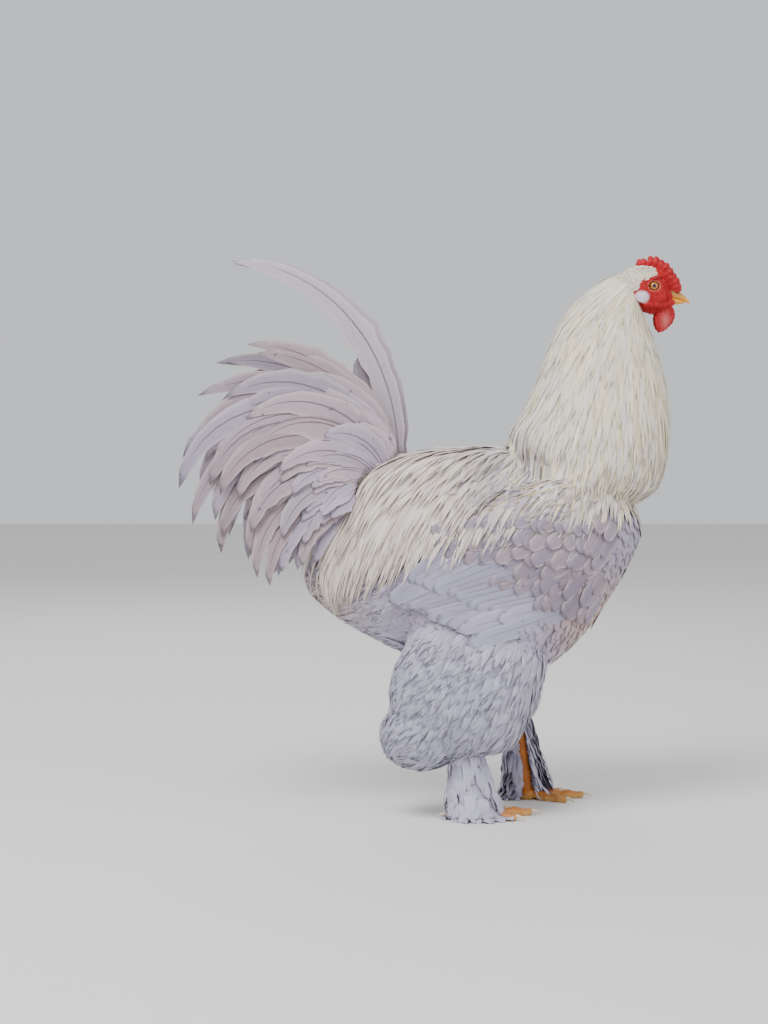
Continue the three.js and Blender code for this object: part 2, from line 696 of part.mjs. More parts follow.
// Pointed feathers that hang over both flanks from a thin pad along the back.
function saddlePieces() {
  const random = seeded(41);
  const pad = new Loft({
    ring: (u) => {
      const x = lerp(SADDLE_CORE.back, SADDLE_CORE.front, u);
      const [, z, , above] = along(TORSO, rowOf(TORSO, x));
      return [x, 0, z + above - 14, SADDLE_CORE.spread, 14 + SADDLE_CORE.rise, 10];
    },
    upright: true,
    domes: [0.2, 0.3],
  });
  const pieces = [(grow) => pad.solid(6, 12, grow)];
  for (const side of [RIGHT, LEFT])
    for (let k = 0; k < SADDLE.tiers; k++)
      for (let i = 0; i < SADDLE.around; i++) {
        const share = (i + (k % 2 ? 0.5 : 0)) / (SADDLE.around - 0.5);
        const x0 = lerp(SADDLE.xFront, SADDLE.xBack, share);
        const top = 58 - 12 * k;
        const low = lerp(12, -14, share) + 8 * k - 5 * random();
        const at = (t) => {
          const u = rowOf(TORSO, x0 - SADDLE.drift * t ** 1.4);
          const angle = degToRad(lerp(top, low, t));
          const p = torso.point(u, angle, lerp(1.5, 13 + 2.2 * (i % 2), smoothstep(t, 0, 0.8)));
          const out = p.clone().sub(torso.centre(u)).setX(0).normalize();
          p.y *= side;
          out.y *= side;
          return [p, out];
        };
        pieces.push((grow) => vane({ at, half: SADDLE.half, thick: SADDLE.thick, steps: 3, outline: "lance" }, grow));
      }
  return pieces;
}

// A thigh with soft tufts that point back and down over the hock.
function thighPieces(foot) {
  const loft = thigh(foot);
  const random = seeded(51 + foot.side);
  const pieces = [(grow) => loft.solid(9, 12, grow)];
  for (let r = 0; r < THIGH_TUFT.rows; r++)
    for (let i = 0; i < THIGH_TUFT.around; i++) {
      const angle = degToRad(lerp(-170, -10, (i + (r % 2 ? 0.5 : 0)) / THIGH_TUFT.around));
      const at = tuftPath(loft, 0.5 + 0.13 * r, angle, 0.1, THIGH_TUFT.length, 7 + 3 * (i % 2));
      const half = THIGH_TUFT.half * (0.9 + 0.2 * random());
      pieces.push((grow) => vane({ at, half, thick: THIGH_TUFT.thick, steps: 3, outline: "tuft" }, grow));
    }
  return pieces;
}

// A shank with overlapping scutes and rows of feathers on its outer side.
function shankPieces(foot) {
  const { side, x, y } = foot;
  const loft = new Loft({
    ring: (u) => {
      const radius = lerp(SHANK.radius, SHANK.ankle, u) * (1 + SHANK.scute * (1 - ((u * SHANK.scutes) % 1)));
      return [x - SHANK.lean * (1 - u), side * y, lerp(SHANK.top, 12, u), radius * 0.9, radius, radius];
    },
    upright: true,
    domes: [0.05, 0.06],
  });
  const random = seeded(61 + side);
  const pieces = [(grow) => loft.solid(9, 6, grow)];
  for (let r = 0; r < SHANK_FEATHER.rows; r++)
    for (let i = 0; i < SHANK_FEATHER.around; i++) {
      const turn = i / (SHANK_FEATHER.around - 1);
      const angle = degToRad(side > 0 ? lerp(66, -84, turn) : lerp(114, 264, turn));
      const u0 = 0.3 + 0.17 * r;
      const root = loft.point(u0, angle, -3);
      const out = root.clone().sub(loft.centre(u0)).normalize();
      const length = SHANK_FEATHER.length * (0.85 + 0.3 * random()) * (r === SHANK_FEATHER.rows - 1 ? 0.8 : 1);
      const at = (t) => {
        const p = root.clone().addScaledVector(out, length * (0.5 * t + 0.22 * Math.sin(Math.PI * t)));
        p.z = Math.max(2.2 + 0.5 * i, root.z - length * 0.82 * t ** 1.25);
        return [p, out.clone().setZ(0.75)];
      };
      pieces.push((grow) => vane({ at, half: SHANK_FEATHER.half, thick: SHANK_FEATHER.thick, steps: 3 }, 2.8 * grow));
    }
  return pieces;
}

// Each part of a foot is made along X from the ankle and then turned and set in its place.
const place = (foot, made, yaw) =>
  made.rotate([0, 0, foot.side * foot.yaw + yaw]).translate([foot.x, foot.side * foot.y, 0]);

function padPieces(foot) {
  const { half, height } = FOOT_PAD;
  const shape = (grow) => ball(0, 0, 6.5, grown([half, half, height - 6.5], grow), 0, 12, 6);
  return [(grow) => place(foot, shape(grow), 0)];
}

function toePieces(foot, toe) {
  const rise = toe.name === "hallux" ? 4 : 2.5;
  const loft = new Loft({
    ring: (u) => {
      const knuckle = 1 + 0.1 * Math.cos(u * 3 * 2 * Math.PI);
      const radius = toe.radius * lerp(1.05, 0.72, u) * knuckle;
      const z = lerp(radius + rise, radius - TOE_FLAT, smoothstep(u, 0, 0.35));
      return [lerp(TOE_START, TOE_START + toe.length, u), 0, z, radius, radius * 0.95, radius];
    },
    upright: true,
    domes: [0.12, 0.12],
  });
  return [(grow) => place(foot, loft.solid(6, 6, grow), foot.side * toe.yaw)];
}

function clawPieces(foot, toe) {
  const loft = new Loft({
    ring: (u) => {
      const radius = CLAW.radius * (1 - 0.86 * u);
      const x = TOE_START + toe.length - 3 + CLAW.length * u;
      const z = 4.6 + 1.4 * Math.sin(Math.PI * u) - CLAW.drop * u ** 2;
      return [x, 0, z, radius * 0.75, radius, radius];
    },
    domes: [0.1, 0.12],
  });
  return [(grow) => place(foot, loft.solid(3, 5, grow), foot.side * toe.yaw)];
}

const bird = new THREE.Group();
const taken = [];
const meet = (a, b) => [0, 1, 2].every((i) => a.min[i] < b.max[i] && b.min[i] < a.max[i]);

// Adds one named node. It gives way to all nodes before it, and its own grown pieces are kept for those after it.
function add(name, material, pieces, cuts = []) {
  const whole = joined(pieces.map((piece) => piece(0)));
  const near = taken.filter((other) => meet(whole.boundingBox(), other.boundingBox()));
  const free = largest(largest(whole.subtract(joined([floorBelow, ...near, ...cuts]))).simplify(SMALLEST));
  taken.push(...pieces.map((piece) => piece(GAP)));
  const { vertProperties, triVerts, numProp } = free.getMesh();
  const points = new Float32Array((vertProperties.length / numProp) * 3);
  for (let i = 0; i < points.length / 3; i++) points.set(vertProperties.subarray(i * numProp, i * numProp + 3), 3 * i);
  const geometry = new THREE.BufferGeometry();
  geometry.setAttribute("position", new THREE.BufferAttribute(points, 3));
  geometry.setIndex(new THREE.BufferAttribute(triVerts, 1));
  geometry.computeVertexNormals();
  const mesh = new THREE.Mesh(geometry, new THREE.MeshStandardMaterial({ metalness: 0, ...MATERIALS[material] }));
  mesh.name = name;
  bird.add(mesh);
}

for (const side of [RIGHT, LEFT]) add(`eye_${sideName(side)}`, "eye", eyePieces(side));
add("head", "flesh", headPieces(), [gape()]);
add("beak_upper", "beak", [(grow) => upperBeak.solid(7, 10, grow)], [nostrils()]);
add("beak_lower", "beak", [(grow) => lowerBeak.solid(6, 10, grow)]);
add("comb", "flesh", combPieces());
add("torso", "torso", torsoPieces());
add("tail_fan", "tail", tailFanPieces());
add("neck", "hackle", neckPieces());
for (const side of [RIGHT, LEFT]) {
  const name = sideName(side);
  add(`wattle_${name}`, "flesh", wattlePieces(side));
  add(`earlobe_${name}`, "lobe", earlobePieces(side));
  add(`sickle_${name}`, "tail", sicklePieces(side));
  add(`tail_coverts_${name}`, "tail", covertPieces(side));
}
add("saddle", "hackle", saddlePieces());
for (const foot of FEET) {
  const name = sideName(foot.side);
  add(`wing_${name}`, "wing", wingPieces(foot.side));
  add(`wing_flights_${name}`, "wing", flightPieces(foot.side));
  add(`foot_${name}`, "scale", padPieces(foot));
  for (const toe of TOES) {
    add(`toe_${toe.name}_${name}`, "scale", toePieces(foot, toe));
    add(`claw_${toe.name}_${name}`, "claw", clawPieces(foot, toe));
  }
  add(`shank_${name}`, "scale", shankPieces(foot));
  add(`thigh_${name}`, "fluff", thighPieces(foot));
}
add("abdomen", "fluff", abdomenPieces());

// The origin is on the ground under the middle of the whole bird.
const box = new THREE.Box3().setFromObject(bird);
const middle = box.getCenter(new THREE.Vector3());
bird.position.set(-middle.x, -middle.y, -box.min.z);

export default bird;
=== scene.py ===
"""A life-size lavender Brahma cockerel, still, dressed feather by feather over one skin.

Sizes are millimetres in the bird's own frame: X to the beak, Y to its left, Z up from the ground.
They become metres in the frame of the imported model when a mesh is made.
"""
import logging
import math
from dataclasses import dataclass, field
from enum import Enum
from typing import Callable, Sequence

import bpy
import numpy as np
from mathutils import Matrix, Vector
from mathutils.bvhtree import BVHTree
from mathutils.kdtree import KDTree


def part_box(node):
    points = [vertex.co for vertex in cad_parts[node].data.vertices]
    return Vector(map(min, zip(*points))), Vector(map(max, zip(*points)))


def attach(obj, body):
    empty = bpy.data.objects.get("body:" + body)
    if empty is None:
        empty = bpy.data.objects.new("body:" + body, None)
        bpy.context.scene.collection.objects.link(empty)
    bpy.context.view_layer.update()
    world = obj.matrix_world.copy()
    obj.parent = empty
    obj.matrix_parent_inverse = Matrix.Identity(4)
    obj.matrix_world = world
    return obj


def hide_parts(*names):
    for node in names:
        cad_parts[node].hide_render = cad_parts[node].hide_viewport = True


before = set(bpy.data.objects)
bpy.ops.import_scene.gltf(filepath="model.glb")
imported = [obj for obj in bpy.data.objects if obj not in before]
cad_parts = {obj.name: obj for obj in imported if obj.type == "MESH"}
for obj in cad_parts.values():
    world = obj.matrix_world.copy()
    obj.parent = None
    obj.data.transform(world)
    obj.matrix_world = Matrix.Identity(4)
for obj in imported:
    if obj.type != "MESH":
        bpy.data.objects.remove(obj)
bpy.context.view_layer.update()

MM = 0.001
EYE_X, EYE_Y, EYE_Z = 199.0, 12.4, 648.0
LOBE_X, LOBE_Y, LOBE_Z = 184.0, 17.6, 634.5
SHIFT = np.array([sum(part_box("eye_right")[k][0] for k in (0, 1)) / 2 / MM - EYE_X, 0.0, 0.0])
BODY = "root"
RIGHT, LEFT = -1, 1
SIDES = {RIGHT: "right", LEFT: "left"}
STRIDE = 46.0
PATCH = 0.003
LEAST_HEIGHT = 0.4
LOG = logging.getLogger("cockerel")
Array = np.ndarray
Shell = tuple[Array, list[tuple[int, ...]]]
Colour = tuple[float, float, float]


def srgb(red: float, green: float, blue: float) -> Colour:
    """Turns a colour on a scale of 255 into linear light."""
    return tuple((v / 255) ** 2.2 for v in (red, green, blue))


def unit(v: Array) -> Array:
    """Vectors along the last axis at length one."""
    return v / np.maximum(np.linalg.norm(v, axis=-1, keepdims=True), 1e-9)


def smooth(x: Array, low: float, high: float) -> Array:
    """A smooth step from 0 at low to 1 at high."""
    t = np.clip((np.asarray(x, float) - low) / (high - low), 0, 1)
    return t * t * (3 - 2 * t)


def mix(a: Array, b: Array, t: Array) -> Array:
    """A blend from a at 0 to b at 1."""
    return a + (b - a) * t


def aimed(degrees: Array) -> Array:
    """Headings in the bird's middle plane, where 0 is forwards, 90 up and 180 backwards."""
    a = np.radians(degrees)
    return np.stack([np.cos(a), np.zeros(len(a)), np.sin(a)], 1)


def tilted(points: Array, degrees: float) -> Array:
    """Points turned about Y, so that X's far end goes down."""
    a = math.radians(degrees)
    x, y, z = points.T
    return np.stack([x * math.cos(a) + z * math.sin(a), y, -x * math.sin(a) + z * math.cos(a)], axis=1)


def read_points(mesh: bpy.types.Mesh) -> Array:
    """A mesh's points in metres, as rows of three."""
    co = np.empty(len(mesh.vertices) * 3, np.float32)
    mesh.vertices.foreach_get("co", co)
    return co.reshape(-1, 3)


def write_points(mesh: bpy.types.Mesh, points: Array) -> None:
    """Moves a mesh's points to new places in metres."""
    mesh.vertices.foreach_set("co", points.ravel().astype(np.float32))
    mesh.update()


def paint(mesh: bpy.types.Mesh, tints: Array) -> None:
    """Paints a colour on each of a mesh's points."""
    layer = mesh.color_attributes.get("tint") or mesh.color_attributes.new("tint", "FLOAT_COLOR", "POINT")
    layer.data.foreach_set("color", np.c_[tints, np.ones(len(tints))].ravel().astype(np.float32))


def bake(made: bpy.types.Object) -> None:
    """Puts the result of an object's modifiers in its mesh's place.

    Args:
        made: an object with modifiers.
    """
    seen = made.evaluated_get(bpy.context.evaluated_depsgraph_get())
    mesh = bpy.data.meshes.new_from_object(seen)
    made.modifiers.clear()
    made.data = mesh


class Tint(Enum):
    """The bird's own colours."""

    CREAM = srgb(240, 229, 194)
    STRAW = srgb(222, 202, 142)
    PEARL = srgb(198, 194, 212)
    LAVENDER = srgb(172, 163, 184)
    SLATE = srgb(146, 138, 158)
    BLUE = srgb(166, 166, 190)
    MAUVE = srgb(176, 156, 160)
    BEIGE = srgb(196, 168, 154)
    BLUSH = srgb(216, 200, 196)
    SNOW = srgb(236, 232, 226)
    RED = srgb(184, 10, 24)
    LOBE = srgb(222, 218, 232)
    LID = srgb(232, 170, 120)
    WATTLE = srgb(236, 150, 150)
    SOLE = srgb(214, 168, 96)
    SCALE = srgb(198, 120, 48)

    @property
    def rgb(self) -> Array:
        """The colour as three numbers."""
        return np.array(self.value)

    def to(self, other: "Tint", share: "float | Array") -> Array:
        """The colours on the way to another tint."""
        return mix(self.rgb, other.rgb, share)


class Outline(Enum):
    """The half width of a vane along its length, as a share of its widest."""

    ROUND = "round"
    LANCE = "lance"
    SICKLE = "sickle"
    FLIGHT = "flight"
    TUFT = "tuft"

    def width(self, t: Array) -> Array:
        """Half widths at places from 0, the root, to 1, the tip.

        Args:
            t: places from 0, the root, to 1, the tip.

        Returns:
            A share of the greatest half width for each.
        """
        if self is Outline.ROUND:
            return np.sqrt(np.minimum(1, 0.12 + 1.9 * t)) * np.sqrt(1 - t**5)
        if self is Outline.LANCE:
            return (0.45 + 0.55 * np.sin(np.pi * np.minimum(1, 1.15 * t))) * np.sqrt(1 - t**1.7)
        if self is Outline.SICKLE:
            return np.sqrt(np.minimum(1, 0.2 + 2.2 * t)) * (1 - t**2.4) ** 0.7
        if self is Outline.FLIGHT:
            return np.sqrt(np.minimum(1, 0.25 + 2 * t)) * np.sqrt(1 - t**7)
        return (0.6 + 0.4 * np.sin(np.pi * t)) * (1 - t**2)


@dataclass(frozen=True)
class Rows:
    """A table of rows along a part, read along a smooth curve through them."""

    values: tuple[tuple[float, ...], ...]

    def at(self, u: Array) -> Array:
        """Rows at places from 0, the first row, to 1, the last.

        Args:
            u: the places, as an array of n.

        Returns:
            One row for each place.
        """
        table = np.array(self.values, float)
        last = len(table) - 1
        where = np.clip(u, 0, 1) * last
        i = np.minimum(where.astype(int), last - 1)
        t = (where - i)[:, None]
        pick = lambda k: table[np.clip(k, 0, last)]
        a, b, c, d = pick(i - 1), pick(i), pick(i + 1), pick(i + 2)
        start, end = (c - a) / 2, (d - b) / 2
        return (b * (1 + 2 * t) * (1 - t) ** 2 + start * t * (1 - t) ** 2
                + c * t * t * (3 - 2 * t) + end * t * t * (t - 1))

    def place(self, value: float) -> float:
        """The place where the first column has a value, for a column that only rises or falls."""
        u = np.linspace(0, 1, 400)
        return float(u[np.argmin(abs(self.at(u)[:, 0] - value))])


@dataclass
class Loft:
    """A closed rounded body: rings along rows of x, y, z, half side, half above and half below."""

    rows: Rows
    upright: bool = True
    domes: tuple[float, float] = (0.2, 0.2)
    square: float = 1.0
    scale: Callable[[Array], Array] = lambda u: np.ones_like(u)
    reach: float = 1.0
    bump: Callable[[Array], Array] = lambda u: np.ones_like(u)

    def tangent(self, u: Array) -> Array:
        """The way that the rings face.

        Args:
            u: places along the part, from 0 to 1.

        Returns:
            A unit vector for each place.
        """
        low = np.zeros_like(u) if self.upright else np.maximum(0, u - 0.02)
        high = np.ones_like(u) if self.upright else np.minimum(1, u + 0.02)
        ahead = self.rows.at(high * self.reach)[:, :3] - self.rows.at(low * self.reach)[:, :3]
        ahead[:, 1] = 0
        return unit(ahead)

    def points(self, u: Array, angle: Array, grow: float = 0.0) -> Array:
        """Points of the surface.

        Args:
            u: places along the part, from 0 to 1.
            angle: angles round each ring, with 0 to the bird's left.
            grow: how far outside the surface the points lie.

        Returns:
            One point for each place and angle.
        """
        row = self.rows.at(u * self.reach)
        row[:, 3:] *= (self.scale(u) * self.bump(u))[:, None]
        ahead = self.tangent(u)
        side = np.array([0.0, 1.0, 0.0])
        up = np.cross(ahead, side)
        if self.upright and up[0, 2] < 0:
            up = -up
        c, s = np.cos(angle), np.sin(angle)
        bend = lambda v: np.sign(v) * abs(v) ** self.square
        a, b = self.domes
        dome = np.where(u < a, np.sqrt(np.maximum(0, 1 - (1 - u / a) ** 2)), 1)
        dome = dome * np.where(1 - u < b, np.sqrt(np.maximum(0, 1 - (1 - (1 - u) / b) ** 2)), 1)
        wide = bend(c) * (row[:, 3] + grow) * dome
        tall = bend(s) * (np.where(s > 0, row[:, 4], row[:, 5]) + grow) * dome
        shift = -grow * np.cos(np.pi * u)
        return row[:, :3] + ahead * shift[:, None] + side * wide[:, None] + up * tall[:, None]

    def shell(self, rings: int, sides: int, grow: float = 0.0) -> Shell:
        """The whole surface as points and outward faces.

        Args:
            rings: the number of rings.
            sides: the points of each ring.
            grow: how far outside the surface it lies.

        Returns:
            The points, and the faces' point numbers.
        """
        v = np.linspace(0, 1, rings + 1)[1:-1]
        u = v - 0.7 * np.sin(2 * np.pi * v) / (2 * np.pi)
        angle = np.linspace(0, 2 * np.pi, sides, endpoint=False)
        grid = self.points(np.repeat(u, sides), np.tile(angle, len(u)), grow)
        ends = self.points(np.array([0.0, 1.0]), np.zeros(2), grow)
        n = len(u) * sides
        faces = []
        for i in range(len(u) - 1):
            for j in range(sides):
                k = (j + 1) % sides
                faces.append((i * sides + j, i * sides + k, (i + 1) * sides + k, (i + 1) * sides + j))
        for j in range(sides):
            k = (j + 1) % sides
            faces.append((n, k, j))
            faces.append((n + 1, n - sides + j, n - sides + k))
        if self.upright and self.rows.values[0][0] > self.rows.values[-1][0]:
            faces = [face[::-1] for face in faces]
        return np.vstack([grid, ends]), faces

    def tree(self, grow: float = 0.0) -> BVHTree:
        """A search tree of the surface."""
        points, faces = self.shell(40, 40, grow)
        return BVHTree.FromPolygons([tuple(p) for p in points], faces)


def ball(centre: Sequence[float], size: Sequence[float], tilt: float = 0.0, sides: int = 20) -> Shell:
    """An ellipsoid's points and faces, tilted about Y by degrees.

    Args:
        centre: its centre.
        size: its half sizes.
        tilt: its tilt in degrees.
        sides: the points of each ring.

    Returns:
        The points, and the faces' point numbers.
    """
    rows = Rows(((-1, 0, 0, 1, 1, 1), (1, 0, 0, 1, 1, 1)))
    points, faces = Loft(rows, domes=(0.5, 0.5)).shell(14, sides)
    radius = np.sqrt(np.maximum(0, 1 - points[:, 0] ** 2))
    radial = np.linalg.norm(points[:, 1:], axis=1)
    points[:, 1:] *= (radius / np.maximum(radial, 1e-6))[:, None]
    return tilted(points * np.array(size), tilt) + np.array(centre), faces


def object_from(name: str, points: Array, corners: Array, totals: Array) -> bpy.types.Object:
    """A mesh object in the model's frame from flat face arrays in millimetres.

    Args:
        name: its name.
        points: points in millimetres.
        corners: the point numbers of all faces, one face after another.
        totals: each face's number of corners.

    Returns:
        The object.
    """
    mesh = bpy.data.meshes.new(name)
    mesh.vertices.add(len(points))
    mesh.vertices.foreach_set("co", ((points + SHIFT) * MM).ravel().astype(np.float32))
    mesh.loops.add(len(corners))
    mesh.loops.foreach_set("vertex_index", corners.astype(np.int32))
    mesh.polygons.add(len(totals))
    starts = np.concatenate([[0], np.cumsum(totals)[:-1]])
    mesh.polygons.foreach_set("loop_start", starts.astype(np.int32))
    mesh.polygons.foreach_set("loop_total", totals.astype(np.int32))
    mesh.polygons.foreach_set("use_smooth", np.ones(len(totals), bool))
    mesh.update(calc_edges=True)
    mesh.validate()
    made = bpy.data.objects.new(name, mesh)
    bpy.context.collection.objects.link(made)
    return made


def object_of(name: str, shells: Sequence[Shell]) -> bpy.types.Object:
    """One object of several closed shells.

    Args:
        name: its name.
        shells: each shell's points and faces.

    Returns:
        The object.
    """
    points, corners, totals, base = [], [], [], 0
    for part, faces in shells:
        points.append(part)
        for face in faces:
            corners.extend(base + k for k in face)
            totals.append(len(face))
        base += len(part)
    return object_from(name, np.vstack(points), np.array(corners), np.array(totals))


def remeshed(made: bpy.types.Object, voxel: float, passes: int) -> bpy.types.Object:
    """The object's shells fused into one even surface, and softened.

    Args:
        made: the object.
        voxel: the surface's grain in millimetres.
        passes: how many times it is softened.

    Returns:
        The same object with its new mesh.
    """
    fuse = made.modifiers.new("fuse", "REMESH")
    fuse.mode = "VOXEL"
    fuse.voxel_size = voxel * MM
    fuse.use_smooth_shade = True
    soften = made.modifiers.new("soften", "SMOOTH")
    soften.iterations = passes
    soften.factor = 0.5
    bake(made)
    return made


def joined(name: str, pieces: Sequence[bpy.types.Object]) -> bpy.types.Object:
    """Several objects as one.

    Args:
        name: the name of the whole.
        pieces: the objects, of which the first is kept.

    Returns:
        The first object, with the meshes of all.
    """
    with bpy.context.temp_override(active_object=pieces[0], selected_editable_objects=list(pieces)):
        bpy.ops.object.join()
    pieces[0].name = name
    pieces[0].data.name = name
    return pieces[0]


class Wire:
    """A shader socket that is used in Python expressions."""

    def __init__(self, shade: "Shade", socket: bpy.types.NodeSocket) -> None:
        """Keeps the socket and the tree it is in."""
        self.shade, self.socket = shade, socket

    def __add__(self, other: "Wire | float") -> "Wire":
        """The sum."""
        return self.shade.math("ADD", self, other)

    def __radd__(self, other: float) -> "Wire":
        """The sum, with a number first."""
        return self.shade.math("ADD", other, self)

    def __sub__(self, other: "Wire | float") -> "Wire":
        """The difference."""
        return self.shade.math("SUBTRACT", self, other)

    def __rsub__(self, other: float) -> "Wire":
        """The difference, from a number."""
        return self.shade.math("SUBTRACT", other, self)

    def __mul__(self, other: "Wire | float") -> "Wire":
        """The product."""
        return self.shade.math("MULTIPLY", self, other)

    def __abs__(self) -> "Wire":
        """The size without its sign."""
        return self.shade.math("ABSOLUTE", self)

    def step(self, low: float, high: float) -> "Wire":
        """A smooth step from 0 at low to 1 at high."""
        node = self.shade.node("ShaderNodeMapRange", {"interpolation_type": "SMOOTHSTEP"},
                               {"Value": self, "From Min": low, "From Max": high})
        return Wire(self.shade, node.outputs["Result"])


class Shade:
    """A material's node tree and the ways to fill it."""

    def __init__(self, name: str) -> None:
        """Starts a material with one Principled shader.

        Args:
            name: the material's name.
        """
        self.material = bpy.data.materials.new(name)
        self.material.use_nodes = True
        self.tree = self.material.node_tree
        self.shader = self.tree.nodes["Principled BSDF"]

    def node(self, kind: str, settings: dict | None = None, inputs: dict | None = None) -> bpy.types.Node:
        """Adds a node.

        Args:
            kind: the node's type.
            settings: its own properties, set first.
            inputs: values or links of its sockets, by name or number.

        Returns:
            The node.
        """
        made = self.tree.nodes.new(kind)
        for key, value in (settings or {}).items():
            setattr(made, key, value)
        for key, value in (inputs or {}).items():
            self.feed(made.inputs[key], value)
        return made

    def feed(self, socket: bpy.types.NodeSocket, value: "Wire | float | Sequence[float]") -> None:
        """Links a wire to a socket, or sets the socket's own value.

        Args:
            socket: the input.
            value: a wire, a number, a vector or a colour.
        """
        if isinstance(value, Wire):
            self.tree.links.new(value.socket, socket)
        elif isinstance(value, (tuple, list)) and len(value) == 3 and socket.type == "RGBA":
            socket.default_value = (*value, 1)
        else:
            socket.default_value = value

    def math(self, operation: str, *values: "Wire | float") -> Wire:
        """One Math node."""
        made = self.node("ShaderNodeMath", {"operation": operation}, dict(enumerate(values)))
        return Wire(self, made.outputs[0])

    def blend(self, factor: Wire, a: "Wire | Colour", b: "Wire | Colour", mode: str = "MIX") -> Wire:
        """A blend of two colours.

        Args:
            factor: the second colour's share.
            a: the first colour.
            b: the second colour.
            mode: how they are blended.

        Returns:
            The blend.
        """
        made = self.node("ShaderNodeMix", {"data_type": "RGBA", "blend_type": mode})
        self.feed(made.inputs[0], factor)
        for place, value in ((0, factor), (6, a), (7, b)):
            self.feed(made.inputs[place], value)
        return Wire(self, made.outputs[2])

    def map(self, name: str) -> list[Wire]:
        """The three numbers of a UV map."""
        return self.split(Wire(self, self.node("ShaderNodeUVMap", {"uv_map": name}).outputs[0]))

    def coords(self) -> Wire:
        """Object coordinates."""
        return Wire(self, self.node("ShaderNodeTexCoord").outputs["Object"])

    def split(self, vector: Wire) -> list[Wire]:
        """A vector's three numbers."""
        made = self.node("ShaderNodeSeparateXYZ", None, {0: vector})
        return [Wire(self, out) for out in made.outputs]

    def joint(self, x: Wire, y: Wire, z: "Wire | float" = 0.0) -> Wire:
        """A vector of three numbers."""
        return Wire(self, self.node("ShaderNodeCombineXYZ", None, {0: x, 1: y, 2: z}).outputs[0])

    def noise(self, vector: Wire, scale: float, detail: float = 3.0, rough: float = 0.55) -> Wire:
        """Cloudy noise from 0 to 1."""
        made = self.node("ShaderNodeTexNoise", None,
                         {"Vector": vector, "Scale": scale, "Detail": detail, "Roughness": rough})
        return Wire(self, made.outputs["Fac"])

    def cells(self, vector: Wire, scale: float) -> Wire:
        """The distance to the nearest of many cell centres."""
        made = self.node("ShaderNodeTexVoronoi", None, {"Vector": vector, "Scale": scale})
        return Wire(self, made.outputs["Distance"])

    def tint(self) -> Wire:
        """The colour painted on the mesh."""
        return Wire(self, self.node("ShaderNodeAttribute", {"attribute_name": "tint"}).outputs["Color"])

    def dress(self, constants: dict[str, float], **varying: Wire) -> bpy.types.Material:
        """Sets the shader's own values and links what changes over the surface."""
        for key, value in (constants | varying).items():
            self.feed(self.shader.inputs[key.replace("_", " ")], value)
        return self.material

    def relief(self, height: Wire, strength: float, distance: float) -> Wire:
        """A normal from a height."""
        made = self.node("ShaderNodeBump", None,
                         {"Height": height, "Strength": strength, "Distance": distance})
        return Wire(self, made.outputs["Normal"])


@dataclass(frozen=True)
class FeatherFinish:
    """Barbs, a rachis and a rim over the colour painted on each feather."""

    name: str
    barbs: float = 70.0
    streak: float = 0.3
    rim: Colour = Tint.SNOW.value
    rim_share: float = 0.35
    rim_start: float = 0.62
    rachis: Colour = srgb(120, 108, 112)
    rachis_share: float = 0.25
    relief: float = 0.35
    roughness: float = 0.62
    flecks: float = 0.0
    fleck: Colour = srgb(70, 60, 66)
    barb_shade: Colour = (0.42, 0.38, 0.4)
    root_shade: Colour = (0.55, 0.52, 0.58)

    def material(self) -> bpy.types.Material:
        """The finish as a material that reads the Vane map and the painted tint.

        Returns:
            The material.
        """
        shade = Shade(self.name)
        u, v, _ = shade.map("Vane")
        across = abs(u - 0.5) * 2
        x, y, z = shade.split(shade.coords())
        spread = x * 37 + y * 53 + z * 29
        barbs = shade.joint(v * self.barbs + across * self.barbs * 0.32, spread, u * 1.5)
        line = shade.noise(barbs, 1.0, 2.0, 0.6)
        broad = shade.noise(shade.joint(v * 7 + across * 2, spread * 0.5, u * 2), 1.0, 2.0)
        barb = line.step(0.3, 0.7)
        shaded = shade.blend(barb * self.streak, shade.tint(), self.barb_shade, "MULTIPLY")
        shaded = shade.blend((1 - v).step(0.35, 1.0) * 0.22, shaded, self.root_shade, "MULTIPLY")
        rim = (across + broad * 0.25).step(self.rim_start, 1.15) * self.rim_share
        shaded = shade.blend(rim, shaded, self.rim)
        quill = (1 - across.step(0.02, 0.09)) * (1 - v.step(0.75, 0.98)) * self.rachis_share
        shaded = shade.blend(quill, shaded, self.rachis)
        if self.flecks:
            spot = shade.noise(shade.coords(), 95.0, 1.0).step(0.73, 0.76) * self.flecks
            shaded = shade.blend(spot, shaded, self.fleck)
        height = barb * 0.5 + quill * 1.5
        return shade.dress({"Roughness": self.roughness, "Specular IOR Level": 0.25, "Sheen Weight": 0.15,
                            "Sheen Roughness": 0.5},
                           Base_Color=shaded, Normal=shade.relief(height, self.relief, 0.0006))


@dataclass(frozen=True)
class SkinFinish:
    """Bare red face, pale ear lobes, scaled orange legs, and pale skin under the feathers."""

    name: str = "skin"
    grain: float = 620.0
    fine: float = 900.0
    broad: float = 90.0
    flush: Colour = (0.55, 0.42, 0.42)
    pore: Colour = (0.6, 0.4, 0.4)
    gleam: Colour = srgb(245, 190, 185)

    def material(self) -> bpy.types.Material:
        """The finish as a material that reads the painted tint and Object coordinates.

        Returns:
            The material.
        """
        shade = Shade(self.name)
        at = shade.coords()
        grain = shade.cells(at, self.grain)
        fine = shade.noise(at, self.fine)
        patch = shade.noise(at, self.broad)
        base = shade.blend(patch.step(0.35, 0.7) * 0.45, shade.tint(), self.flush, "MULTIPLY")
        base = shade.blend(grain.step(0.25, 0.75) * 0.35, base, self.pore, "MULTIPLY")
        # Painted highlight: small pale pink spots of gleam from fine noise.
        base = shade.blend(fine.step(0.62, 0.8) * 0.18, base, self.gleam)
        height = (1 - grain) * 0.8 + fine * 0.3
        rough = 0.42 + patch * 0.2
        return shade.dress({"Specular IOR Level": 0.4, "Subsurface Weight": 0.08, "Subsurface Scale": 0.004},
                           Base_Color=base, Roughness=rough, Normal=shade.relief(height, 0.5, 0.0008))


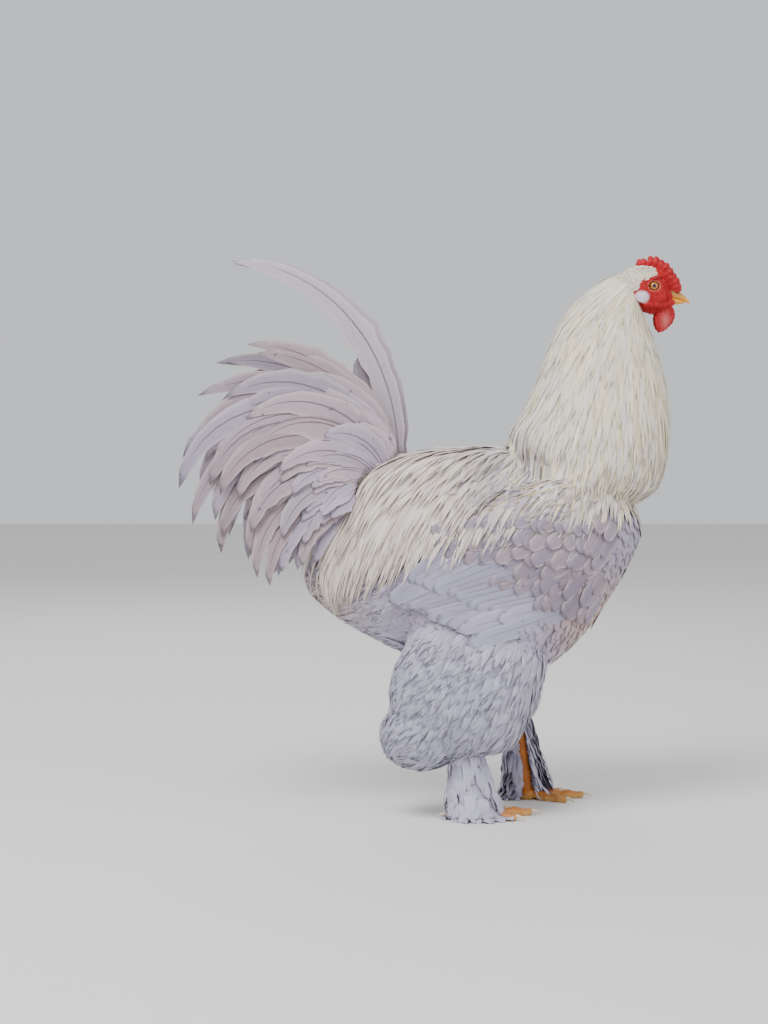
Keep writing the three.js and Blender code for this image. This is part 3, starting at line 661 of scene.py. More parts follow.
@dataclass(frozen=True)
class HornFinish:
    """Horn that runs from a dark ridge to a yellow edge, with fine growth lines."""

    name: str
    top: Colour
    low: Colour
    level: float
    depth: float
    line: Colour = (0.6, 0.52, 0.45)

    def material(self) -> bpy.types.Material:
        """The finish as a material that reads Object coordinates.

        Returns:
            The material.
        """
        shade = Shade(self.name)
        at = shade.coords()
        x, _, z = shade.split(at)
        lines = shade.noise(shade.joint(x * 900, z * 120), 1.0, 2.0)
        mask = (z + shade.noise(at, 260.0) * 0.003).step(self.level, self.level + self.depth)
        base = shade.blend(mask, self.low, self.top)
        base = shade.blend(lines.step(0.45, 0.7) * 0.25, base, self.line, "MULTIPLY")
        return shade.dress({"Roughness": 0.32, "Specular IOR Level": 0.5},
                           Base_Color=base, Normal=shade.relief(lines, 0.25, 0.0004))


@dataclass(frozen=True)
class EyeFinish:
    """An amber iris round a black pupil, under a clear wet coat."""

    name: str = "eye"
    pupil: float = 0.42
    iris: float = 0.8
    amber: Colour = srgb(226, 140, 36)
    brown: Colour = srgb(150, 74, 18)
    ring: Colour = srgb(70, 32, 18)
    black: Colour = (0.004, 0.003, 0.003)
    lid: Colour = srgb(120, 30, 30)

    def material(self) -> bpy.types.Material:
        """The finish as a material that reads the eye's own polar map.

        Returns:
            The material.
        """
        shade = Shade(self.name)
        turn, out, _ = shade.map("Polar")
        rays = shade.noise(shade.joint(turn * 40, out * 2), 1.0, 3.0)
        iris = shade.blend(rays, self.amber, self.brown)
        iris = shade.blend(out.step(self.iris - 0.14, self.iris), iris, self.ring)
        base = shade.blend(1 - out.step(self.pupil - 0.03, self.pupil + 0.03), iris, self.black)
        base = shade.blend(out.step(self.iris, self.iris + 0.08), base, self.lid)
        return shade.dress({"Roughness": 0.08, "Coat Weight": 1.0, "Coat Roughness": 0.02}, Base_Color=base)


@dataclass
class Flock:
    """Feathers of one piece: paths, facings, widths and colours, gathered and then built as one mesh."""

    name: str
    outline: Outline
    stations: int = 6
    thick: float = 0.9
    bow: float = 0.16
    ragged: float = 0.08
    paths: list[Array] = field(default_factory=list)
    outs: list[Array] = field(default_factory=list)
    halves: list[Array] = field(default_factory=list)
    tints: list[Array] = field(default_factory=list)
    seed: int = 3

    def add(self, paths: Array, outs: Array, halves: Array, tints: Array) -> None:
        """Adds feathers.

        Args:
            paths: n feathers of m points each.
            outs: the way that each point's upper side faces.
            halves: each feather's greatest half width.
            tints: each feather's colour.
        """
        self.paths.append(np.asarray(paths, float))
        self.outs.append(np.asarray(outs, float))
        self.halves.append(np.broadcast_to(np.asarray(halves, float), (len(paths),)))
        self.tints.append(np.broadcast_to(np.asarray(tints, float), (len(paths), 3)))

    def build(self, skin: "Skin", material: bpy.types.Material) -> bpy.types.Object:
        """Makes the mesh, with its Vane map, its bake patches and its painted tint.

        Args:
            skin: the skin that the feathers grow on.
            material: their finish.

        Returns:
            The piece.
        """
        k = self.stations
        paths = np.concatenate([self.resampled(p, k) for p in self.paths])
        outs = np.concatenate([self.resampled(o, k) for o in self.outs])
        halves, tints = np.concatenate(self.halves), np.concatenate(self.tints)
        rng = np.random.default_rng(self.seed)
        n = len(paths)
        t = self.places(k)
        ahead = unit(np.gradient(paths, axis=1))
        side = unit(np.cross(ahead, outs))
        out = np.cross(side, ahead)
        width = self.outline.width(np.minimum(t, 0.999))[None, :] * halves[:, None]
        width = width * (1 + self.ragged * rng.standard_normal((n, k + 1)))
        skew = 1 + 0.12 * rng.standard_normal((n, 1))
        deep = (self.thick / 2 * (1 - 0.7 * t))[None, :, None]
        drop = (self.bow * width)[..., None] * out
        left = paths - side * (width * skew)[..., None] - drop
        right = paths + side * (width * (2 - skew))[..., None] - drop
        rings = np.stack([left, paths + out * deep, right, paths - out * deep], axis=2)[:, :-1]
        points = np.concatenate([rings.reshape(n, 4 * k, 3), paths[:, -1:]], axis=1)
        points[..., 2] = np.maximum(points[..., 2], LEAST_HEIGHT)
        corners, totals = self.template(k)
        count = 4 * k + 1
        flat = (corners[None, :] + (np.arange(n) * count)[:, None]).ravel()
        made = object_from(self.name, points.reshape(-1, 3), flat, np.tile(totals, n))
        self.crease(made.data, count)
        v = np.concatenate([np.repeat(t[:-1], 4), [1.0]])
        u = np.concatenate([np.tile([0, 0.5, 1, 0.5], k), [0.5]])
        self.map(made, "OFBake", skin.patches(paths[:, 0]), u, v, corners, PATCH)
        self.map(made, "Vane", None, u, v, corners, 1.0)
        shades = np.repeat(tints * (1 + 0.06 * rng.standard_normal((n, 1))), count, axis=0)
        paint(made.data, np.clip(shades, 0, 1))
        made.data.materials.append(material)
        LOG.info("%s: %d feathers, %d triangles", self.name, n, n * (8 * (k - 1) + 6))
        return made

    def places(self, k: int) -> Array:
        """Places of the stations along a vane, closer together towards a round tip."""
        even = 0.72 if self.outline in (Outline.ROUND, Outline.FLIGHT) else 0.95
        return (np.arange(k + 1) / k) ** even

    def resampled(self, lines: Array, k: int) -> Array:
        """Lines of any number of points, read at the stations.

        Args:
            lines: n lines of any number of points.
            k: how many stations a feather has.

        Returns:
            The n lines, with k + 1 points each.
        """
        where = self.places(k) * (lines.shape[1] - 1)
        i = np.minimum(where.astype(int), lines.shape[1] - 2)
        f = (where - i)[None, :, None]
        return lines[:, i] * (1 - f) + lines[:, i + 1] * f

    @staticmethod
    def crease(mesh: bpy.types.Mesh, count: int) -> None:
        """Keeps the two faces of each vane apart in the shading, along its rims.

        Args:
            mesh: the flock's mesh.
            count: the number of points of each feather.
        """
        pairs = np.empty(len(mesh.edges) * 2, np.int32)
        mesh.edges.foreach_get("vertices", pairs)
        pairs = pairs.reshape(-1, 2) % count
        rim = (pairs % 2 == 0).all(1) & ((pairs[:, 0] - pairs[:, 1]) % 4 == 0)
        layer = mesh.attributes.new("sharp_edge", "BOOLEAN", "EDGE")
        layer.data.foreach_set("value", rim)

    @staticmethod
    def template(k: int) -> tuple[Array, Array]:
        """One feather's faces: a cap at the root, four strips, and a fan at the tip.

        Args:
            k: how many stations a feather has.

        Returns:
            The faces' point numbers, one face after another, and each face's number of corners.
        """
        faces = [(0, 1, 2, 3)]
        for i in range(k - 1):
            for a in range(4):
                b = (a + 1) % 4
                faces.append((4 * i + a, 4 * i + 4 + a, 4 * i + 4 + b, 4 * i + b))
        for a in range(4):
            faces.append((4 * k - 4 + a, 4 * k, 4 * k - 4 + (a + 1) % 4))
        return np.concatenate([np.array(f) for f in faces]), np.array([len(f) for f in faces])

    @staticmethod
    def map(made: bpy.types.Object, name: str, roots: Array | None, u: Array, v: Array,
            corners: Array, size: float) -> None:
        """Adds a UV map where each feather is a small patch at its root, or fills the square.

        Args:
            made: the piece.
            name: the map's name.
            roots: each feather's place on the map, or None.
            u: each point's place across the vane.
            v: each point's place along the vane.
            corners: one feather's corners.
            size: the patch's size.
        """
        layer = made.data.uv_layers.new(name=name)
        one = np.stack([u[corners], v[corners]], axis=1) * size
        n = len(layer.data) // len(corners)
        base = np.zeros((n, 2)) if roots is None else roots - size / 2
        both = base[:, None, :] + one[None, :, :]
        layer.data.foreach_set("uv", both.ravel().astype(np.float32))


@dataclass
class Form:
    """The body's lofts, from the same sizes as the solids."""

    coat: float = 6.0
    torso: Loft = field(default_factory=lambda: Loft(Rows((
        (-232, 0, 285, 46, 34, 34), (-196, 0, 292, 64, 66, 62), (-146, 0, 304, 88, 104, 104),
        (-90, 0, 307, 102, 128, 134), (-30, 0, 305, 108, 134, 140), (30, 0, 306, 108, 132, 138),
        (86, 0, 316, 99, 116, 118), (134, 0, 336, 80, 84, 82), (170, 0, 350, 58, 56, 48),
        (190, 0, 352, 36, 30, 26))), domes=(0.14, 0.16), square=0.94))
    neck_rows: Rows = Rows((
        (172, 0, 652, 17, 16, 20), (160, 0, 636, 29, 27, 34), (147, 0, 598, 45, 56, 62),
        (140, 0, 552, 59, 76, 78), (136, 0, 506, 73, 90, 92), (128, 0, 458, 90, 97, 104),
        (112, 0, 412, 108, 98, 112), (98, 0, 372, 114, 91, 116)))
    head: Loft = field(default_factory=lambda: Loft(Rows((
        (148, 0, 648, 14, 15, 17), (164, 0, 649, 17.5, 20.5, 21), (180, 0, 649, 19, 23.5, 27),
        (196, 0, 646, 19, 25, 30), (210, 0, 641, 16.5, 22, 27), (222, 0, 636, 10, 10, 11))),
        domes=(0.3, 0.28)))
    tail: Loft = field(default_factory=lambda: Loft(Rows((
        (-96, 0, 366, 40, 58, 44), (-136, 0, 388, 46, 62, 52), (-172, 0, 404, 40, 52, 52),
        (-204, 0, 414, 26, 36, 40))), domes=(0.2, 0.4)))
    feet: dict[int, tuple[float, float, float]] = field(
        default_factory=lambda: {RIGHT: (-24, 60, -8), LEFT: (50, 60, 4)})

    def neck(self) -> Loft:
        """The neck under its hackles."""
        scale = lambda u: mix(0.96, 0.92, smooth(u, 0, 0.5))
        return Loft(self.neck_rows, upright=False, domes=(0.08, 0.16), scale=scale, reach=0.92)

    def pad(self) -> Loft:
        """The low pad along the back, under the saddle's feathers.

        Returns:
            The pad.
        """
        rows = []
        for x in np.linspace(-176, 34, 8):
            _, _, z, _, above, _ = self.torso.rows.at(np.array([self.torso.rows.place(x)]))[0]
            rows.append((x, 0, z + above - 14 + 10 * float(smooth(x, -40, 34)), 62, 20, 10))
        return Loft(Rows(tuple(rows)), domes=(0.2, 0.3))

    def wing(self, side: int) -> Loft:
        """A folded wing's body.

        Args:
            side: the bird's side, RIGHT or LEFT.

        Returns:
            The wing.
        """
        return Loft(Rows(tuple((x, side * y, z, h, a, b) for x, z, y, h, a, b in (
            (184, 352, 44, 16, 30, 26), (152, 359, 62, 24, 48, 46), (104, 356, 82, 27, 62, 64),
            (52, 350, 92, 25, 62, 66), (0, 338, 95, 21, 52, 58), (-46, 316, 95, 16, 38, 46),
            (-80, 294, 93, 10, 22, 26)))), domes=(0.2, 0.3))

    def thigh(self, side: int) -> Loft:
        """A thigh with its drumstick down to the hock.

        Args:
            side: the bird's side, RIGHT or LEFT.

        Returns:
            The thigh.
        """
        swing = STRIDE if side == LEFT else 0
        rows = ((4, 262, 62, 36, 66, 74), (-8, 214, 70, 50, 84, 96), (-24, 168, 73, 54, 84, 100),
                (-40, 128, 72, 50, 84, 98), (-52, 96, 69, 40, 74, 84), (-60, 68, 66, 25, 44, 58))
        last = len(rows) - 1
        bent = tuple((x + swing * float(smooth(i / last, 0, 1)), side * y, z, h, a, b)
                     for i, (x, z, y, h, a, b) in enumerate(rows))
        return Loft(Rows(bent), upright=False, domes=(0.2, 0.34), square=0.92)

    def shank(self, side: int) -> Loft:
        """A shank with overlapping scutes.

        Args:
            side: the bird's side, RIGHT or LEFT.

        Returns:
            The shank.
        """
        x, y, _ = self.feet[side]
        rows = ((x - 14, side * y, 116, 7.8, 8.6, 8.6), (x - 7, side * y, 64, 7.6, 8.4, 8.4),
                (x, side * y, 12, 7.4, 8.2, 8.2))
        return Loft(Rows(rows), domes=(0.05, 0.06), bump=lambda u: 1 + 0.1 * (1 - (u * 11) % 1))

    def toe(self, side: int, yaw: float, length: float, radius: float, rise: float) -> Loft:
        """A toe with swollen joints and scutes, set on its foot.

        Args:
            side: the bird's side, RIGHT or LEFT.
            yaw: its angle from the foot's own, in degrees.
            length: its length.
            radius: its half width.
            rise: how high its root stands.

        Returns:
            The toe.
        """
        x, y, turn = self.feet[side]
        angle = math.radians(side * (turn + yaw))
        rows = []
        for u in np.linspace(0, 1, 7):
            r = radius * mix(1.05, 0.72, u) * (1 + 0.1 * math.cos(u * 6 * math.pi))
            z = mix(r + rise, r - 1.2, float(smooth(u, 0, 0.35)))
            out = 8 + length * u
            rows.append((x + math.cos(angle) * out, side * y + math.sin(angle) * out, z, r, r, r))
        return Loft(Rows(tuple(rows)), domes=(0.12, 0.12), bump=lambda u: 1 + 0.06 * (1 - (u * 9) % 1))


TOES = {"inner": (34, 50, 6.2, 2.5), "middle": (0, 66, 6.8, 2.5), "outer": (-36, 50, 6.0, 2.5),
        "hallux": (172, 28, 5.4, 4)}


@dataclass(frozen=True)
class Lie:
    """How feathers lie over the skin.

    Attributes:
        root: the root's height over the skin.
        tip: the tip's height over the skin.
        stick: how closely a feather follows skin that falls away, from 0 to 1.
        steps: how many straight pieces it has.
        sag: what is added to its heading at each step.
        jitter: how much the tip's height varies.
    """

    root: float
    tip: float
    stick: float
    steps: int
    sag: tuple[float, float, float] = (0.0, 0.0, 0.0)
    jitter: float = 0.0


@dataclass
class Skin:
    """The one skin of the whole bird, and the places and lie of what grows on it."""

    form: Form
    voxel: float = 4.0
    passes: int = 26
    face_voxel: float = 1.15
    face_passes: int = 3
    feet_voxel: float = 1.35
    feet_passes: int = 1
    wrinkles: float = 0.28
    comb_line: Rows = Rows(((183, 675), (196, 677), (208, 674), (218, 665), (225, 653), (229, 643)))
    body: bpy.types.Object | None = None
    body_tree: BVHTree | None = None
    face_tree: BVHTree | None = None
    tree: BVHTree | None = None
    face_uv: Array | None = None
    regions: dict[str, BVHTree] = field(default_factory=dict)

    def comb(self) -> list[Shell]:
        """Three rows of small lobes over the forehead, the middle row highest.

        Returns:
            The lobes and the ridge under them.
        """
        rng = np.random.default_rng(7)
        shells = []
        for u in np.linspace(0, 1, 11):
            (x, z), (xa, za), (xb, zb) = self.comb_line.at(np.array([u, u + 0.03, u - 0.03]))
            out = unit(np.array([-(za - zb), xa - xb]))
            swell = 0.62 + 0.42 * math.sin(math.pi * (0.12 + 0.76 * u))
            for row, rise, radius in ((0, 5.2, 3.6), (-1, 1.2, 2.9), (1, 1.2, 2.9)):
                r = radius * swell * rng.uniform(0.85, 1.15)
                up = rise * swell + rng.uniform(-0.9, 0.7)
                y = row * 6.2 * swell + rng.uniform(-0.4, 0.4)
                shells.append(ball((x + out[0] * up, y, z + out[1] * up), (r, r * 0.9, r * 1.15), sides=12))
            size = (6.6 * swell, 7.0 * swell, 6.0 * swell)
            shells.append(ball((x - out[0] * 2, 0, z - out[1] * 2), size, sides=14))
        shells.append(ball((184, 0, 676), (6.0, 4.5, 3.2), sides=14))
        return shells

    def face(self) -> bpy.types.Object:
        """The head with its lids, brow, cheeks, comb, lobes and folded wattles.

        Returns:
            The head's fine mesh.
        """
        shells = [self.form.head.shell(40, 40), *self.comb()]
        for side in SIDES:
            shells.append(ball((LOBE_X, side * LOBE_Y, LOBE_Z), (9.2, 3.4, 7.4), 24))
            shells.append(ball((197, side * 14.8, 657.5), (12, 4.6, 2.6), -14))
            for i in range(16):
                a = i / 16 * 2 * math.pi
                deep = 16.4 - 0.5 * abs(math.cos(a))
                spot = (EYE_X + 7.3 * math.cos(a), side * deep, EYE_Z + 6.1 * math.sin(a))
                shells.append(ball(spot, (1.9, 1.5, 1.5), sides=10))
            for i in range(7):
                spot = mix(np.array([190.0, side * 17.2, 626]), np.array([222.0, side * 9.0, 628]), i / 6)
                sag = np.array([0, 0, -2.5 * math.sin(i / 6 * math.pi)])
                shells.append(ball(spot + sag, (4.4, 3.2, 4.2), sides=12))
            shells.append(ball((216, side * 5.5, 636), (7.5, 4.6, 8.0)))
            shells.append(ball((206, side * 12, 634), (10, 6, 9)))
            shells.append(self.wattle(side))
        made = remeshed(object_of("face", shells), self.face_voxel, self.face_passes)
        self.wrinkle(made.data)
        return made

    @staticmethod
    def wattle(side: int) -> Shell:
        """A thin wattle that hangs with upright folds and curls at its rim.

        Args:
            side: the bird's side, RIGHT or LEFT.

        Returns:
            Its points and faces.
        """
        points, faces = ball((0, 0, 0), (1, 1, 1), sides=40)
        x, y, z = points.T
        low = smooth(-z, -0.2, 1)
        fold = 1 + 0.45 * np.sin(4 * np.pi * x + 0.6) * low
        wave = 2.4 * np.sin(7 * x + 1.2 * side) * low
        hung = np.stack([x * 12.6 * (1 - 0.28 * low), y * 3.4 * fold + wave * side * 0.5, z * 18], axis=1)
        return tilted(hung, 18) + np.array([213, side * 8.2, 609]), faces

    @staticmethod
    def from_eye(x: Array, z: Array, wide: float, tall: float) -> Array:
        """The distance from the eye's middle, as a share of an oval's half sizes."""
        return np.hypot((x - EYE_X) / wide, (z - EYE_Z) / tall)

    @staticmethod
    def hanging(z: Array) -> Array:
        """A share that rises from 0 at the chin to 1 where the loose skin hangs under it."""
        return smooth(-z, -632, -618)

    def wrinkle(self, mesh: bpy.types.Mesh) -> None:
        """Pushes fine wrinkles and small bumps into the bare skin, and hollows the eyes' sockets.

        Args:
            mesh: the head's mesh, which is changed.
        """
        co = read_points(mesh)
        normals = np.empty(co.size, np.float32)
        mesh.vertices.foreach_get("normal", normals)
        p = co / MM
        x, y, z = (p - SHIFT).T
        lobe = np.exp(-(((p - SHIFT - np.array([LOBE_X, 0, LOBE_Z])) / np.array([10, 40, 8])) ** 2).sum(1))
        rough = np.sin(p[:, 0] * 1.9 + 1.3 * np.sin(p[:, 2] * 1.1)) * np.sin(p[:, 2] * 1.7 + p[:, 1] * 1.5)
        rough += 1.3 * np.sin(x * 1.5 + 0.25 * p[:, 2]) * self.hanging(p[:, 2])
        rough += 0.6 * np.sin(p[:, 0] * 3.7 + p[:, 1] * 2.9) * np.sin(p[:, 2] * 3.3)
        reach = self.from_eye(x, z, 6.9, 5.9)
        socket = (reach < 1) & (abs(y) > 8)
        depth = np.where(socket, np.sign(y) * np.minimum(abs(y), EYE_Y + 3.6 * reach**6), y)
        co[:, 1] = depth * MM
        write_points(mesh, co + normals.reshape(-1, 3) * (self.wrinkles * MM * rough * (1 - lobe))[:, None])

    def build(self) -> bpy.types.Object:
        """Makes the skin: an even body, and a finer head and legs whose ends lie inside it.

        Returns:
            The skin.
        """
        form, coat = self.form, -self.form.coat
        shells = [form.torso.shell(40, 40, coat), form.neck().shell(30, 32), form.tail.shell(24, 30, -4),
                  form.pad().shell(24, 30)]
        self.regions = {"torso": form.torso.tree(coat), "neck": form.neck().tree(),
                        "tail": form.tail.tree(-4)}
        legs = []
        for side in SIDES:
            wing, thigh = form.wing(side), form.thigh(side)
            swing = STRIDE if side == LEFT else 0
            shells += [wing.shell(30, 30, -4), thigh.shell(30, 30, coat - 2),
                       ball((-6 + 0.3 * swing, side * 58, 236), (92, 48, 50)),
                       ball((-86 + swing, side * 67, 102), (48, 36, 40))]
            self.regions |= {f"wing{side}": wing.tree(-4), f"thigh{side}": thigh.tree(coat - 2)}
            x, y, _ = form.feet[side]
            legs += [form.shank(side).shell(60, 24), ball((x, side * y, 6.5), (13, 13, 10))]
            legs += [form.toe(side, *toe).shell(40, 20) for toe in TOES.values()]
        body = remeshed(object_of("body", shells), self.voxel, self.passes)
        feet = remeshed(object_of("feet", legs), self.feet_voxel, self.feet_passes)
        soles = read_points(feet.data)
        soles[:, 2] = np.maximum(soles[:, 2], 0.0)
        write_points(feet.data, soles)
        face = self.face()
        for made, tints in ((body, self.body_tints), (feet, self.leg_tints), (face, self.face_tints)):
            paint(made.data, tints(read_points(made.data) / MM - SHIFT))
        self.body_tree, self.face_tree = self.tree_of(body), self.tree_of(face)
        self.body = joined("skin", [body, feet, face])
        self.unwrap()
        return self.body

    @staticmethod
    def tree_of(made: bpy.types.Object) -> BVHTree:
        """A search tree of a mesh, in millimetres."""
        points = read_points(made.data).astype(float) / MM - SHIFT
        return BVHTree.FromPolygons(points.tolist(), [tuple(p.vertices) for p in made.data.polygons])

    @staticmethod
    def body_tints(p: Array) -> Array:
        """The coat's colours over the body, by place.

        Args:
            p: points in millimetres.

        Returns:
            One colour for each point.
        """
        x, _, z = p.T
        tint = np.broadcast_to(Tint.LAVENDER.rgb, p.shape).copy()
        tint = mix(tint, Tint.BEIGE.rgb, (smooth(x, 60, 150) * smooth(-z, -350, -250))[:, None])
        tint = mix(tint, Tint.CREAM.rgb, smooth(z, 440, 540)[:, None])
        tint = mix(tint, Tint.BLUE.rgb, (smooth(-z, -260, -200) * smooth(-x, -110, 0))[:, None])
        return mix(tint, Tint.BEIGE.rgb, (smooth(-x, 110, 190) * smooth(-z, -340, -280))[:, None])

    @staticmethod
    def leg_tints(p: Array) -> Array:
        """Orange-yellow scales, paler under the toes."""
        return Tint.SOLE.to(Tint.SCALE, smooth(p[:, 2], 0, 12)[:, None])

    @staticmethod
    def hairline(p: Array) -> Array:
        """How far forward the small feathers of the crown and cheek reach, at each height."""
        z = p[:, 2]
        line = 178 + 0.4 * np.clip(z - 640, -30, 16) + 19 * smooth(z, 655, 661)
        return np.where(abs(z - 634) < 9, 173, line)

    @staticmethod
    def face_tints(p: Array) -> Array:
        """Red skin, with pale ear lobes and wattle centres, yellow lid rims, and painted shade: darker
        upright lines in the folds of the hanging wattles.

        Args:
            p: points in millimetres.

        Returns:
            One colour for each point.
        """
        x, y, z = p.T
        red = np.broadcast_to(Tint.RED.rgb, p.shape)
        feathered = (x < Skin.hairline(p) - 2) & ~((z > 667) & (x > 173))
        red = mix(red, Tint.CREAM.rgb, feathered.astype(float)[:, None])
        lobe = np.exp(-((((x - LOBE_X) / 9) ** 2 + ((z - LOBE_Z) / 7.5) ** 2) ** 4)) * smooth(abs(y), 14, 17)
        # Painted shade: lines and crease darken upright stripes over the hanging skin, in place of the shade
        # in the wattles' folds.
        lines = smooth(np.sin(x * 1.5 + 0.25 * z + 0.8 * np.sin(z * 0.7)), 0.3, 1)
        crease = 1 - 0.3 * lines * Skin.hanging(z)
        tint = mix(red * crease[:, None], Tint.LOBE.rgb, lobe[:, None])
        reach = Skin.from_eye(x, z, 7.2, 6.1)
        ring = np.exp(-(((reach - 0.95) / 0.16) ** 2)) * smooth(abs(y), 14, 16)
        tint = mix(tint, Tint.LID.rgb, 0.55 * ring[:, None])
        pale = np.exp(-(((x - 214) / 5) ** 2 + ((z - 606) / 9) ** 2)) * 0.45
        return mix(tint, Tint.WATTLE.rgb, pale[:, None])

    def unwrap(self) -> None:
        """Unwraps the skin for the bake, and keeps the map's place of each of its faces."""
        mesh = self.body.data
        mesh.uv_layers.new(name="OFBake")
        bpy.context.view_layer.objects.active = self.body
        self.body.select_set(True)
        bpy.ops.object.mode_set(mode="EDIT")
        bpy.ops.mesh.select_all(action="SELECT")
        bpy.ops.uv.smart_project(angle_limit=math.radians(66), island_margin=0.001)
        bpy.ops.object.mode_set(mode="OBJECT")
        uv = np.empty(len(mesh.loops) * 2, np.float32)
        mesh.uv_layers["OFBake"].data.foreach_get("uv", uv)
        self.face_uv = uv.reshape(-1, 2)[[p.loop_start for p in mesh.polygons]]
        self.tree = self.tree_of(self.body)

    def patches(self, roots: Array) -> Array:
        """The skin map's place under each root."""
        return self.face_uv[[self.tree.find_nearest(Vector(p))[2] for p in roots]]

    def sample(self, mesh: bpy.types.Mesh, spacing: float, seed: int,
               keep: Callable[[Array], Array]) -> Array:
        """Roots spread evenly over a mesh.

        Args:
            mesh: the mesh to sow on.
            spacing: the least distance between roots.
            seed: the random seed.
            keep: which of an array of points may hold a root.

        Returns:
            The roots.
        """
        rng = np.random.default_rng(seed)
        area = np.empty(len(mesh.polygons), np.float32)
        centre = np.empty(len(mesh.polygons) * 3, np.float32)
        mesh.polygons.foreach_get("area", area)
        mesh.polygons.foreach_get("center", centre)
        centre = centre.reshape(-1, 3) / MM - SHIFT
        weight = area * keep(centre)
        count = int(weight.sum() * 1e6 / spacing**2 * 3)
        chosen = rng.choice(len(area), count, p=weight / weight.sum())
        spots = centre[chosen] + rng.uniform(-1, 1, (count, 3)) * self.voxel * 0.4
        tree = KDTree(count)
        for i, spot in enumerate(spots):
            tree.insert(spot, i)
        tree.balance()
        free = np.ones(count, bool)
        kept = []
        for i in range(count):
            if free[i]:
                kept.append(i)
                for _, j, _ in tree.find_range(spots[i], spacing):
                    free[j] = False
        return spots[kept]

    def region(self, spots: Array) -> list[str]:
        """The part of the body that each spot is on.

        Args:
            spots: the spots.

        Returns:
            A part's name for each.
        """
        names = []
        for spot in spots:
            near = {name: tree.find_nearest(Vector(spot))[3] for name, tree in self.regions.items()}
            names.append(min(near, key=near.get))
        return names

    def cast(self, x: Array, z: Array, side: int) -> Array:
        """Points of the body's side that are seen at x and z from far out on that side.

        Args:
            x: their places along the bird.
            z: their heights.
            side: the bird's side, RIGHT or LEFT.

        Returns:
            The points.
        """
        found = []
        for a, b in zip(x, z):
            hit = self.body_tree.ray_cast(Vector((a, side * 400, b)), Vector((0, -side, 0)))[0]
            if hit is None:
                hit = self.body_tree.find_nearest(Vector((a, side * 90, b)))[0]
            found.append(tuple(hit))
        return np.array(found)

    def drop(self, outer: Array, inner: Array) -> Array:
        """Points of the body's skin on the lines from outer points to inner ones.

        Args:
            outer: points outside the skin.
            inner: points inside it.

        Returns:
            The points, or the outer ones where there is no skin.
        """
        found = []
        for a, b in zip(outer, inner):
            hit = self.body_tree.ray_cast(Vector(a), Vector(b - a).normalized())[0]
            found.append(tuple(hit or a))
        return np.array(found)

    def lay(self, roots: Array, headings: Array, lengths: Array, lie: Lie, seed: int = 1,
            tree: BVHTree | None = None) -> tuple[Array, Array]:
        """Runs feathers over the skin.

        Args:
            roots: where they start.
            headings: the way that each runs.
            lengths: how long each is.
            lie: how they lie.
            seed: the random seed.
            tree: the surface to lie on, the body's by default.

        Returns:
            The feathers' paths, and the way that each point's upper side faces.
        """
        surface = tree or self.body_tree
        rng = np.random.default_rng(seed)
        n = len(roots)
        paths, outs = np.empty((n, lie.steps + 1, 3)), np.empty((n, lie.steps + 1, 3))
        lengths = np.broadcast_to(lengths, (n,))
        bend = Vector(lie.sag)
        for i in range(n):
            spot, normal, _, _ = surface.find_nearest(Vector(roots[i]))
            top = lie.tip + lie.jitter * rng.uniform(-0.5, 1)
            heading = Vector(headings[i])
            here = spot + normal * lie.root
            paths[i, 0], outs[i, 0] = here, normal
            step = lengths[i] / lie.steps
            for s in range(1, lie.steps + 1):
                heading = heading + bend
                heading = (heading - normal * heading.dot(normal)).normalized()
                free = here + heading * step
                spot, fresh, _, _ = surface.find_nearest(free)
                want = lie.root + (top - lie.root) * ((s / lie.steps) ** 0.8)
                away = (free - spot).dot(fresh)
                keep = want if away < want else want + (away - want) * (1 - lie.stick)
                here = free + fresh * (keep - away)
                normal = (normal + fresh).normalized()
                paths[i, s], outs[i, s] = here, normal
        return paths, outs


def show(made: bpy.types.Object, slot: str, *nodes: str) -> bpy.types.Object:
    """Hangs a piece on the model and hides the solids that it stands for.

    Args:
        made: the piece.
        slot: its slot, which is not used.
        nodes: the solids that it stands for.

    Returns:
        The piece.
    """
    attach(made, BODY)
    if nodes:
        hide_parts(*nodes)
    LOG.info("%s: %d faces", made.name, len(made.data.polygons))
    return made


